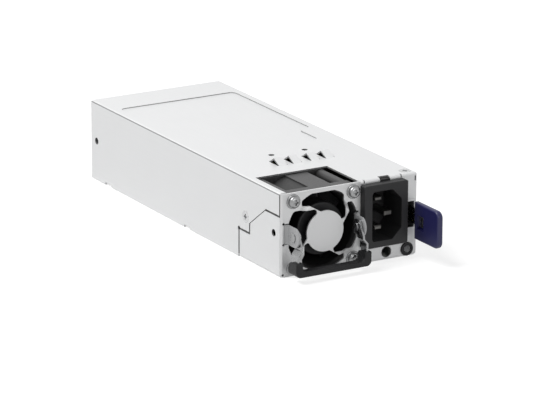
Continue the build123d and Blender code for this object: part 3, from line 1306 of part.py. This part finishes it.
def output_busbars():
    """Two copper bars from the rectifiers to the card edge."""
    bars = []
    for i in range(2):
        x0 = BUSBAR_X0 + i * BUSBAR_PITCH
        bar = block(x0, x0 + BUSBAR_W, BUSBAR_FRONT, BUSBAR_REAR, BOARD_TOP, BOARD_TOP + BUSBAR_T)
        bar += block(x0, x0 + BUSBAR_W, BUSBAR_FRONT, BUSBAR_FRONT + BUSBAR_T, BOARD_TOP, BOARD_TOP + BUSBAR_H)
        bars.append(bar)
    return bars


def control_board():
    """Upright controller card with its row of pins, near the left wall."""
    x1 = CARD_X0 + CARD_T
    card = block(CARD_X0, x1, CARD_Y0, CARD_Y1, BOARD_TOP + CARD_LIFT, BOARD_TOP + CARD_H)
    pins = block(CARD_X0 + CARD_T / 4, x1 - CARD_T / 4, CARD_Y0 + 2, CARD_Y1 - 2, BOARD_TOP, BOARD_TOP + CARD_LIFT)
    return card + pins


def control_chips():
    """Two flat packages on the controller card."""
    x0 = CARD_X0 + CARD_T
    chips = []
    for along, up, half in ((8.0, 14.0, 3.5), (19.0, 17.0, 2.5)):
        y, z = CARD_Y0 + along, BOARD_TOP + up
        chips.append(block(x0, x0 + CHIP_T, y - half, y + half, z - half, z + half))
    return chips


def fan_header():
    """Four-way header on the board behind the fan."""
    x1, y0 = HEADER_X0 + HEADER_W, BOARD_FRONT + 3.0
    body = block(HEADER_X0, x1, y0, y0 + HEADER_D, BOARD_TOP, BOARD_TOP + HEADER_H)
    return body - block(HEADER_X0 + HEADER_WALL, x1 - HEADER_WALL, y0 + HEADER_WALL, y0 + HEADER_D - HEADER_WALL,
                        BOARD_TOP + 3 * HEADER_WALL, BOARD_TOP + HEADER_H + 1)


def status_led():
    """Lamp on the board's underside, at the end of the light pipe."""
    y = FRONT - LED_RING_PROUD + LED_PIPE_LEN
    return block(LED_X - 1.6, LED_X, y + 0.1, y + 2.4, LED_Z - 1.2, BOARD_Z)


boost_core, boost_winding = boost_choke()
transformer_core, transformer_winding = main_transformer()

# Each folded sheet is kept as flat panels, parted where its bends end
tray = folded_tray()
cover = folded_cover()
bend_y = FRONT + BEND_R
behind = REAR + 2 * REAR_TAB_REACH
cover_sides = [cover & block(x, x + SHEET, bend_y, behind, 0, CASE_H - BEND_R) for x in (-HALF_W, HALF_W - SHEET)]

NODES = {
    "base_tray": tray & block(-HALF_W, HALF_W, bend_y, behind, 0, BEND_R),
    "base_sides": [tray & block(x, x + HALF_W, bend_y, behind, BEND_R, CASE_H) for x in (-HALF_W, 0)],
    "front_panel": tray & block(-HALF_W, HALF_W, FRONT - 2 * DISH_H, bend_y, 0, CASE_H),
    "handle_ears": handle_ears(),
    "rear_panel": rear_panel(),
    "top_cover": cover - cover_sides[0] - cover_sides[1],
    "cover_sides": cover_sides,
    "cover_screws": cover_screws(),
    "fan_screws": fan_screws(),
    "fan_frame": fan_frame(),
    "fan_barrel": fan_barrel(),
    "fan_posts": fan_posts(),
    "fan_rear_frame": fan_rear_frame(),
    "fan_stator": fan_stator(),
    "fan_impeller": fan_impeller(),
    "rotor_magnet": rotor_magnet(),
    "fan_shaft": fan_shaft(),
    "handle_arms": [handle_arm(-1), handle_arm(1)],
    "handle_grip": handle_grip(),
    "handle_rivets": [pivot_rivet(-1), pivot_rivet(1)],
    "inlet_housing": inlet_housing(),
    "inlet_pins": inlet_pins(),
    "led_bezel": led_bezel(),
    "light_pipe": light_pipe(),
    "status_led": status_led(),
    "latch_foot": latch_foot(),
    "latch_rivets": latch_rivets(),
    "latch_arm": latch_arm(),
    "latch_tab": latch_tab(),
    "main_board": main_board(),
    "edge_contacts": edge_contacts(),
    "board_standoffs": board_standoffs(),
    "board_screws": board_screws(),
    "insulation_liner": insulation_liner(),
    "bulk_capacitor": bulk_capacitor(),
    "capacitor_seat": capacitor_seat(),
    "emi_chokes": emi_chokes(),
    "x_capacitors": x_capacitors(),
    "relay": relay(),
    "fuse": fuse(),
    "bridge_rectifier": bridge_rectifier(),
    "primary_heatsink": primary_heatsink(),
    "power_transistors": power_transistors(),
    "pfc_choke_core": boost_core,
    "pfc_choke_winding": boost_winding,
    "transformer_core": transformer_core,
    "transformer_winding": transformer_winding,
    "secondary_heatsink": secondary_heatsink(),
    "output_capacitors": output_capacitors(),
    "output_busbars": output_busbars(),
    "control_board": control_board(),
    "control_chips": control_chips(),
    "fan_header": fan_header(),
}

for name, shape in NODES.items():
    if isinstance(shape, list):
        shape = Compound(children=shape)
    export_step(shape, f"parts/{name}.step")
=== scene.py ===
import json
import math

import bpy
from mathutils import Matrix, Vector


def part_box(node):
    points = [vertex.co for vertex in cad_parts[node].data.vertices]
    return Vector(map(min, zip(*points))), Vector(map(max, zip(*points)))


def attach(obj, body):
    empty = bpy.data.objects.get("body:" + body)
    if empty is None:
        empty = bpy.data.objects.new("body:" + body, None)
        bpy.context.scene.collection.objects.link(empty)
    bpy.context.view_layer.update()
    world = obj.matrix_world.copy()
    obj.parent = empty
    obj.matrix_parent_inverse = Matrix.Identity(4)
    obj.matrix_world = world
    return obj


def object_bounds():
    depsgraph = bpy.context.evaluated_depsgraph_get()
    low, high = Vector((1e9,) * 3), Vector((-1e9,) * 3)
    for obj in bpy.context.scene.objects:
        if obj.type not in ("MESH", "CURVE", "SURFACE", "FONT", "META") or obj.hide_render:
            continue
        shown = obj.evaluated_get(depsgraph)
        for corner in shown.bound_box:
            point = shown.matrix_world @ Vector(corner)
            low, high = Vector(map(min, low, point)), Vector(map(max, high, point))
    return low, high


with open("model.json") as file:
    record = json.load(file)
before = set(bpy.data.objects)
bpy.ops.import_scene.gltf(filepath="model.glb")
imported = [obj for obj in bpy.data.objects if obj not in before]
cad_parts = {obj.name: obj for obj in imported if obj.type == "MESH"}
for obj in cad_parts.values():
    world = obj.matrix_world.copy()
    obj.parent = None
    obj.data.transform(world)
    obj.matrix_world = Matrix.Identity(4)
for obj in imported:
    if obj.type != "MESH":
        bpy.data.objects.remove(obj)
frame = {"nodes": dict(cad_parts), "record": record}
cad_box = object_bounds()

# Camera that the photograph was taken with
CAMERA_AZIMUTH = -30.346
CAMERA_ELEVATION = 17.062
CAMERA_ROLL = 0.174
CAMERA_DISTANCE = 1.78689
CAMERA_FOCAL_PX = 3719.8
CAMERA_SHIFT_RIGHT = 0.008442
CAMERA_SHIFT_UP = -0.012178
TARGET_Z = 0.020
PHOTO_WIDTH_PX = 533
SENSOR_WIDTH = 36.0
NEAREST = 0.05
FARTHEST = 50.0

# Studio: light of the sky, the floor's paint and its extra glow for the eye, and the lamps in watts
SKY_LIGHT = 0.20
FLOOR_COLOUR = 0.42
FLOOR_GLOW = 0.76
FLOOR_GAP = 0.0002
FLOOR_REACH = 6.0
KEY_PLACE = (-0.72, 0.20, 1.22)
KEY_SIZE = 0.8
KEY_POWER = 18.8
FRONT_PLACE = (0.15, -1.90, 0.70)
FRONT_SIZE = 0.7
FRONT_POWER = 7.8
AIM = (0.0, 0.0, 0.02)

# Folded sheets: where their hidden faces start inside the skin, in metres, how steep a face of the lid has
# to be to count as an edge, and the share of the colour that painted shade leaves on such faces
SKIN_SIDE = 0.03671
SKIN_FRONT = -0.09175
SKIN_REAR = 0.0923
SKIN_BOTTOM = 0.00125
SKIN_TOP = 0.03958
LID_SIDE = 0.0353
LID_FRONT = -0.0909
LID_STEEP = 0.5
SHEET_PAINTED_SHADE = 0.32

# Folded sheets: gloss, and the scales of the rolled grain and of the soft blotches
SHEET_ROUGH = (0.36, 0.48)
SHEET_METAL = 0.25
SHEET_GRAIN = 900.0
SHEET_GRAIN_STRETCH = (1.0, 0.05, 1.0)
SHEET_BLOTCH = 45.0
SHEET_BLOTCH_DARK = 0.97

# Plated parts and mouldings: scales of their unevenness
PLATING_WEAR = 600.0
PLASTIC_SKIN = 1400.0
PLASTIC_CLOUD = 60.0
PLASTIC_CLOUD_RANGE = (0.9, 1.08)

# Winding: turns across it, as the wave's scale
WIRE_TURNS = 330.0

# Depths of the surface grain, in metres
SHEET_DEPTH = 0.00003
PLATING_DEPTH = 0.00002
PLASTIC_DEPTH = 0.00003
WIRE_DEPTH = 0.0002

# Heights between which the fan's housing falls into shade below its flat top, and the inlet's snap
# tongue above its flange, in metres, with the share of the colour that is left
FAN_SHADE = (0.0381, 0.0386, 0.2)
TONGUE_SHADE = (0.03865, 0.0384, 0.2)

# Card edge: the row of plated holes behind its contacts, in metres
VIA_R = 0.00048
VIA_WIRE = 0.00009
VIA_PITCH = 0.00254
VIA_BACK = 0.0011
VIA_SIDES = 14
VIA_WIRE_SIDES = 6
CONTACT_T = 0.0001


def make_camera():
    """The camera at the photograph's place, with its whole frame."""
    az, el, roll = (math.radians(v) for v in (CAMERA_AZIMUTH, CAMERA_ELEVATION, CAMERA_ROLL))
    back = Vector((math.sin(az) * math.cos(el), -math.cos(az) * math.cos(el), math.sin(el)))
    level = Vector((0, 0, 1)).cross(back).normalized()
    upright = back.cross(level)
    right = level * math.cos(roll) + upright * math.sin(roll)
    up = upright * math.cos(roll) - level * math.sin(roll)
    eye = back * CAMERA_DISTANCE + right * CAMERA_SHIFT_RIGHT + up * CAMERA_SHIFT_UP
    eye.z += TARGET_Z
    data = bpy.data.cameras.new("photo_camera")
    data.sensor_width = SENSOR_WIDTH
    data.lens = SENSOR_WIDTH * CAMERA_FOCAL_PX / PHOTO_WIDTH_PX
    data.clip_start = NEAREST
    data.clip_end = FARTHEST
    camera = bpy.data.objects.new("photo_camera", data)
    bpy.context.scene.collection.objects.link(camera)
    turn = Matrix((right, up, back)).transposed()
    camera.matrix_world = Matrix.Translation(eye) @ turn.to_4x4()
    bpy.context.scene.camera = camera


def area_lamp(name, place, size, power):
    """A soft square lamp that looks at the middle of the object."""
    data = bpy.data.lights.new(name, "AREA")
    data.shape = "SQUARE"
    data.size = size
    data.energy = power
    lamp = bpy.data.objects.new(name, data)
    lamp.location = place
    lamp.rotation_mode = "QUATERNION"
    lamp.rotation_quaternion = (Vector(AIM) - Vector(place)).to_track_quat("-Z", "Y")
    bpy.context.scene.collection.objects.link(lamp)


def seen_directly(tree):
    """1 where a ray comes from the camera, a mirror or through glass, otherwise 0."""
    path = tree.nodes.new("ShaderNodeLightPath")
    value = path.outputs["Is Camera Ray"]
    for name in ("Is Glossy Ray", "Is Transmission Ray"):
        most = tree.nodes.new("ShaderNodeMath")
        most.operation = "MAXIMUM"
        tree.links.new(value, most.inputs[0])
        tree.links.new(path.outputs[name], most.inputs[1])
        value = most.outputs[0]
    return value


def make_world():
    """Plain surroundings: a soft sky for the light, white where they are seen."""
    world = bpy.data.worlds.new("studio")
    world.use_nodes = True
    tree = world.node_tree
    tree.nodes.clear()
    out = tree.nodes.new("ShaderNodeOutputWorld")
    mix = tree.nodes.new("ShaderNodeMixShader")
    tree.links.new(seen_directly(tree), mix.inputs[0])
    for slot, strength in ((1, SKY_LIGHT), (2, 1.0)):
        sky = tree.nodes.new("ShaderNodeBackground")
        sky.inputs["Color"].default_value = (1, 1, 1, 1)
        sky.inputs["Strength"].default_value = strength
        tree.links.new(sky.outputs[0], mix.inputs[slot])
    tree.links.new(mix.outputs[0], out.inputs["Surface"])
    bpy.context.scene.world = world


def make_floor():
    """A wide pale floor that looks white, with the object's soft shadow on it."""
    mesh = bpy.data.meshes.new("floor")
    z = cad_box[0].z - FLOOR_GAP
    corners = [(i * FLOOR_REACH, j * FLOOR_REACH, z) for i, j in ((-1, -1), (1, -1), (1, 1), (-1, 1))]
    mesh.from_pydata(corners, [], [(0, 1, 2, 3)])
    floor = bpy.data.objects.new("floor", mesh)
    bpy.context.scene.collection.objects.link(floor)
    material = bpy.data.materials.new("floor_white")
    material.use_nodes = True
    tree = material.node_tree
    tree.nodes.clear()
    out = tree.nodes.new("ShaderNodeOutputMaterial")
    matt = tree.nodes.new("ShaderNodeBsdfDiffuse")
    matt.inputs["Color"].default_value = (FLOOR_COLOUR, FLOOR_COLOUR, FLOOR_COLOUR, 1)
    glow = tree.nodes.new("ShaderNodeEmission")
    glow.inputs["Strength"].default_value = FLOOR_GLOW
    lit = tree.nodes.new("ShaderNodeAddShader")
    mix = tree.nodes.new("ShaderNodeMixShader")
    tree.links.new(matt.outputs[0], lit.inputs[0])
    tree.links.new(glow.outputs[0], lit.inputs[1])
    tree.links.new(seen_directly(tree), mix.inputs[0])
    tree.links.new(matt.outputs[0], mix.inputs[1])
    tree.links.new(lit.outputs[0], mix.inputs[2])
    tree.links.new(mix.outputs[0], out.inputs["Surface"])
    mesh.materials.append(material)


class Finish:
    """A material being built: its nodes, its shader, and where and how the face lies on the object."""

    def __init__(self, name, base, roughness, metallic=0.0, **settings):
        self.material = bpy.data.materials.new(name)
        self.material.use_nodes = True
        self.tree = self.material.node_tree
        self.shader = self.tree.nodes["Principled BSDF"]
        self.base = base
        self.shader.inputs["Base Color"].default_value = (*base, 1)
        self.shader.inputs["Roughness"].default_value = roughness
        self.shader.inputs["Metallic"].default_value = metallic
        for socket, value in settings.items():
            self.shader.inputs[socket.replace("_", " ")].default_value = value
        places = self.node("ShaderNodeTexCoord")
        self.coordinates = places.outputs["Object"]
        self.facing = places.outputs["Normal"]

    def node(self, kind, **values):
        made = self.tree.nodes.new(kind)
        for key, value in values.items():
            setattr(made, key, value)
        return made

    def link(self, start, end):
        self.tree.links.new(start, end)

    def parts(self, vector):
        """The three numbers of a vector."""
        made = self.node("ShaderNodeSeparateXYZ")
        self.link(vector, made.inputs[0])
        return made.outputs

    def stretched(self, scale):
        """Object coordinates stretched by a factor on each axis."""
        mapping = self.node("ShaderNodeMapping")
        mapping.inputs["Scale"].default_value = scale
        self.link(self.coordinates, mapping.inputs["Vector"])
        return mapping.outputs["Vector"]

    def noise(self, scale, detail, vector=None):
        """A cloud of the scale and detail, by Object coordinates unless a vector is given."""
        made = self.node("ShaderNodeTexNoise")
        made.inputs["Scale"].default_value = scale
        made.inputs["Detail"].default_value = detail
        self.link(vector or self.coordinates, made.inputs["Vector"])
        return made.outputs["Fac"]

    def math(self, operation, first, second=0.0):
        """One Math node between a socket and a second socket or number."""
        made = self.node("ShaderNodeMath", operation=operation)
        self.link(first, made.inputs[0])
        if isinstance(second, bpy.types.NodeSocket):
            self.link(second, made.inputs[1])
        else:
            made.inputs[1].default_value = second
        return made.outputs[0]

    def every(self, *conditions):
        """1 where all the conditions are 1."""
        result = conditions[0]
        for condition in conditions[1:]:
            result = self.math("MULTIPLY", result, condition)
        return result

    def range(self, value, low, high, to_low, to_high):
        """A value moved from one range to another."""
        made = self.node("ShaderNodeMapRange")
        keys = ("From Min", "From Max", "To Min", "To Max")
        for key, number in zip(keys, (low, high, to_low, to_high)):
            made.inputs[key].default_value = number
        self.link(value, made.inputs["Value"])
        return made.outputs["Result"]

    def tint(self, value, dark, light):
        """Base colour between two shares of the finish's own colour."""
        ramp = self.node("ShaderNodeValToRGB")
        ramp.color_ramp.elements[0].color = (*(c * dark for c in self.base), 1)
        ramp.color_ramp.elements[1].color = (*(min(c * light, 1) for c in self.base), 1)
        self.link(value, ramp.inputs["Fac"])
        self.link(ramp.outputs["Color"], self.shader.inputs["Base Color"])

    def rough(self, value, low, high):
        """Roughness between two values."""
        self.link(self.range(value, 0.3, 0.7, low, high), self.shader.inputs["Roughness"])

    def bump(self, value, strength, distance):
        """Fine relief of a depth in metres."""
        made = self.node("ShaderNodeBump")
        made.inputs["Strength"].default_value = strength
        made.inputs["Distance"].default_value = distance
        self.link(value, made.inputs["Height"])
        self.link(made.outputs["Normal"], self.shader.inputs["Normal"])


def hidden_faces(finish):
    """1 on the folded sheets' inner and cut faces and the lid's steep edge faces, 0 on the skin that is
    seen from outside; painted shade goes where it is 1.
    """
    x, y, z = finish.parts(finish.coordinates)
    aside = finish.math("ABSOLUTE", x)
    within = finish.every(
        finish.math("LESS_THAN", aside, SKIN_SIDE),
        finish.math("GREATER_THAN", y, SKIN_FRONT),
        finish.math("LESS_THAN", y, SKIN_REAR),
        finish.math("GREATER_THAN", z, SKIN_BOTTOM),
        finish.math("LESS_THAN", z, SKIN_TOP),
    )
    upright = finish.every(
        finish.math("LESS_THAN", finish.parts(finish.facing)["Z"], LID_STEEP),
        finish.math("LESS_THAN", aside, LID_SIDE),
        finish.math("GREATER_THAN", y, LID_FRONT),
        finish.math("GREATER_THAN", z, SKIN_TOP),
    )
    return finish.math("MAXIMUM", within, upright)


def zinc_sheet(name, base):
    """Galvanised sheet: faint rolled grain along the case, soft blotches, and painted shade darkening the
    inner and cut faces.
    """
    finish = Finish(name, base, sum(SHEET_ROUGH) / 2, metallic=SHEET_METAL)
    blotches = finish.range(finish.noise(SHEET_BLOTCH, 2.0), 0.0, 1.0, SHEET_BLOTCH_DARK, 1.0)
    grain = finish.noise(SHEET_GRAIN, 3.0, finish.stretched(SHEET_GRAIN_STRETCH))
    # painted shade: the inner, cut and lid edge faces keep only a share of the sheet's colour
    painted_inner_shade = finish.range(hidden_faces(finish), 0.0, 1.0, 1.0, SHEET_PAINTED_SHADE)
    finish.tint(finish.math("MULTIPLY", painted_inner_shade, blotches), 0.0, 1.0)
    finish.rough(grain, *SHEET_ROUGH)
    finish.bump(grain, 0.08, SHEET_DEPTH)
    return finish.material


def plated(name, base, roughness, metallic=1.0):
    """Plated small steel parts with a slightly uneven gloss."""
    finish = Finish(name, base, roughness, metallic=metallic)
    wear = finish.noise(PLATING_WEAR, 3.0)
    finish.tint(wear, 0.88, 1.0)
    finish.rough(wear, roughness * 0.8, roughness * 1.25)
    finish.bump(wear, 0.06, PLATING_DEPTH)
    return finish.material


def moulded(name, base, roughness, shade=None, **settings):
    """Moulded plastic with a fine spark-eroded skin.

    A shade is two heights and the share of the colour that is left at the first of them.
    """
    finish = Finish(name, base, roughness, **settings)
    skin = finish.noise(PLASTIC_SKIN, 4.0)
    cloud = finish.noise(PLASTIC_CLOUD, 2.0)
    if shade:
        dark_at, full_at, left = shade
        # painted shade: the colour darkens between the two heights
        share = finish.range(finish.parts(finish.coordinates)["Z"], dark_at, full_at, left, 1.0)
        mottled = finish.range(cloud, 0.0, 1.0, *PLASTIC_CLOUD_RANGE)
        finish.tint(finish.math("MULTIPLY", share, mottled), 0.0, 1.0)
    else:
        finish.tint(cloud, *PLASTIC_CLOUD_RANGE)
    finish.rough(skin, roughness * 0.9, roughness * 1.12)
    finish.bump(skin, 0.12, PLASTIC_DEPTH)
    return finish.material


def wound_wire():
    """Enamelled copper with fine turns across the winding."""
    finish = Finish("wound_wire", (0.62, 0.25, 0.08), 0.32, metallic=0.8)
    wave = finish.node("ShaderNodeTexWave", wave_type="BANDS", bands_direction="Z")
    wave.inputs["Scale"].default_value = WIRE_TURNS
    wave.inputs["Distortion"].default_value = 0.4
    finish.link(finish.coordinates, wave.inputs["Vector"])
    finish.tint(wave.outputs["Fac"], 0.5, 1.1)
    finish.bump(wave.outputs["Fac"], 0.5, WIRE_DEPTH)
    return finish.material


def clear_rod():
    """Clear moulded light guide."""
    finish = Finish("clear_rod", (0.93, 0.95, 0.96), 0.12, Transmission_Weight=0.85, IOR=1.49)
    haze = finish.noise(300.0, 2.0)
    finish.rough(haze, 0.08, 0.2)
    return finish.material


FINISHES = {
    "galvanised_steel": zinc_sheet("zinc_sheet", (0.80, 0.805, 0.81)),
    "zinc_screw": plated("zinc_screw", (0.3, 0.303, 0.306), 0.3),
    "bright_steel": plated("bright_steel", (0.3, 0.303, 0.306), 0.26),
    # nickel-plated pins: the base is darkened as painted shade of the socket around them
    "nickel_brass": plated("nickel_brass", (0.12, 0.118, 0.112), 0.34),
    "copper": wound_wire(),
    "gold": plated("gold_plate", (0.9, 0.66, 0.26), 0.2),
    "aluminium": plated("plain_aluminium", (0.78, 0.79, 0.8), 0.36),
    "ferrite": moulded("ferrite", (0.035, 0.035, 0.038), 0.6),
    "dark_plastic": moulded("dark_plastic", (0.013, 0.013, 0.0135), 0.5, Specular_IOR_Level=0.3),
    "black_plastic": moulded("black_plastic", (0.010, 0.010, 0.011), 0.5, Specular_IOR_Level=0.25),
    "black_sleeve": moulded("black_sleeve", (0.02, 0.02, 0.025), 0.24),
    "blue_plastic": moulded("blue_plastic", (0.012, 0.012, 0.075), 0.4),
    "yellow_plastic": moulded("yellow_tape", (0.75, 0.55, 0.08), 0.35),
    "white_plastic": moulded("white_plastic", (0.82, 0.8, 0.74), 0.45),
    "clear_plastic": clear_rod(),
    "clear_film": moulded("clear_film", (0.7, 0.71, 0.69), 0.2),
    "green_board": moulded("green_board", (0.02, 0.15, 0.05), 0.3),
}

# Nodes whose finish differs a little from the rest of their material slot; the fan's housing, the inlet's
# tongue and the handle's ears carry painted shade
# fan housing below its flat top and the inlet's tongue above its flange: painted shade
fan_housing = moulded("fan_housing", (0.06, 0.06, 0.061), 0.5, FAN_SHADE)
inlet_nylon = moulded("inlet_nylon", (0.02, 0.02, 0.021), 0.5, TONGUE_SHADE, Specular_IOR_Level=0.3)
# handle ears: a darker sheet than the case's, as painted shade
painted_shade_ear_sheet = zinc_sheet("painted_shade_ear_sheet", (0.4, 0.404, 0.41))
NODE_FINISHES = {
    "fan_frame": fan_housing,
    "fan_barrel": fan_housing,
    "fan_posts": fan_housing,
    "fan_rear_frame": fan_housing,
    "handle_ears": painted_shade_ear_sheet,
    "inlet_housing": inlet_nylon,
    "cover_screws": plated("countersunk_zinc", (0.62, 0.625, 0.63), 0.3, metallic=0.6),
}


def dress_cad_nodes():
    """Gives every CAD node its own finish, or the one that its material slot stands for."""
    slots = {part["node"]: part["material_slot"] for part in frame["record"]["subparts"]}
    for name, node in frame["nodes"].items():
        node.data.materials.clear()
        node.data.materials.append(NODE_FINISHES.get(name) or FINISHES[slots[name]])


class Shape:
    """A Geometry Nodes tree being built, with named inputs for its sizes."""

    def __init__(self, name, inputs):
        self.tree = bpy.data.node_groups.new(name, "GeometryNodeTree")
        interface = self.tree.interface
        self.sockets = {}
        for key, kind in inputs.items():
            self.sockets[key] = interface.new_socket(key, in_out="INPUT", socket_type=kind)
        interface.new_socket("Geometry", in_out="OUTPUT", socket_type="NodeSocketGeometry")
        self.start = self.tree.nodes.new("NodeGroupInput")
        self.end = self.tree.nodes.new("NodeGroupOutput")

    def node(self, kind, inputs=(), **values):
        """A node with its settings and what its sockets are joined to or set to."""
        made = self.tree.nodes.new(kind)
        for key, value in values.items():
            setattr(made, key, value)
        for key, value in dict(inputs).items():
            if isinstance(value, bpy.types.NodeSocket):
                self.tree.links.new(value, made.inputs[key])
            else:
                made.inputs[key].default_value = value
        return made

    def given(self, key):
        """The socket of a named input."""
        return self.start.outputs[key]

    def finish(self, geometry, material):
        """Ends the tree with real geometry in one material."""
        real = self.node("GeometryNodeRealizeInstances", {"Geometry": geometry})
        painted = self.node("GeometryNodeSetMaterial", {"Geometry": real.outputs[0], "Material": material})
        self.tree.links.new(painted.outputs[0], self.end.inputs[0])

    def made(self, name, settings, material):
        """The tree's result as a plain mesh piece."""
        base = bpy.data.objects.new(name + "_source", bpy.data.meshes.new(name + "_source"))
        bpy.context.scene.collection.objects.link(base)
        modifier = base.modifiers.new("shape", "NODES")
        modifier.node_group = self.tree
        for key, value in settings.items():
            modifier[self.sockets[key].identifier] = value
        bpy.context.view_layer.update()
        mesh = bpy.data.meshes.new_from_object(base.evaluated_get(bpy.context.evaluated_depsgraph_get()))
        base.modifiers.remove(modifier)
        bpy.data.objects.remove(base)
        mesh.name = name
        mesh.materials.clear()
        mesh.materials.append(material)
        piece = bpy.data.objects.new(name, mesh)
        bpy.context.scene.collection.objects.link(piece)
        return piece


def via_row_tree(material):
    """A straight row of plated rings on each face of a board."""
    shape = Shape("via_row", {
        "Count": "NodeSocketInt",
        "Start": "NodeSocketVector",
        "Step": "NodeSocketVector",
        "Lower": "NodeSocketVector",
        "Ring radius": "NodeSocketFloat",
        "Wire radius": "NodeSocketFloat",
    })
    upper = shape.node("GeometryNodeMeshLine", {
        "Count": shape.given("Count"),
        "Start Location": shape.given("Start"),
        "Offset": shape.given("Step"),
    }, mode="OFFSET")
    lower = shape.node("GeometryNodeTransform", {
        "Geometry": upper.outputs[0],
        "Translation": shape.given("Lower"),
    })
    rows = shape.node("GeometryNodeJoinGeometry")
    for row in (upper, lower):
        shape.tree.links.new(row.outputs[0], rows.inputs[0])
    circle = shape.node("GeometryNodeCurvePrimitiveCircle", {
        "Resolution": VIA_SIDES,
        "Radius": shape.given("Ring radius"),
    })
    wire = shape.node("GeometryNodeCurvePrimitiveCircle", {
        "Resolution": VIA_WIRE_SIDES,
        "Radius": shape.given("Wire radius"),
    })
    ring = shape.node("GeometryNodeCurveToMesh", {
        "Curve": circle.outputs[0],
        "Profile Curve": wire.outputs[0],
    })
    placed = shape.node("GeometryNodeInstanceOnPoints", {
        "Points": rows.outputs[0],
        "Instance": ring.outputs[0],
    })
    shape.finish(placed.outputs[0], material)
    return shape


def make_edge_vias():
    """Two rows of plated holes on the card edge, one on each face of the board."""
    gold = FINISHES["gold"]
    contacts_low, contacts_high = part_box("edge_contacts")
    board_top = contacts_high[2] - CONTACT_T
    board_under = contacts_low[2] + CONTACT_T
    room = contacts_high[0] - contacts_low[0]
    count = int(room / VIA_PITCH)
    start = (-VIA_PITCH * (count - 1) / 2, contacts_low[1] - VIA_BACK, board_top)
    settings = {
        "Count": count,
        "Start": start,
        "Step": (VIA_PITCH, 0.0, 0.0),
        "Lower": (0.0, 0.0, board_under - board_top),
        "Ring radius": VIA_R,
        "Wire radius": VIA_WIRE,
    }
    vias = via_row_tree(gold).made("edge_vias", settings, gold)
    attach(vias, "housing")


bpy.context.scene.view_settings.view_transform = "Standard"
make_camera()
make_world()
make_floor()
area_lamp("key", KEY_PLACE, KEY_SIZE, KEY_POWER)
area_lamp("front", FRONT_PLACE, FRONT_SIZE, FRONT_POWER)
dress_cad_nodes()
make_edge_vias()
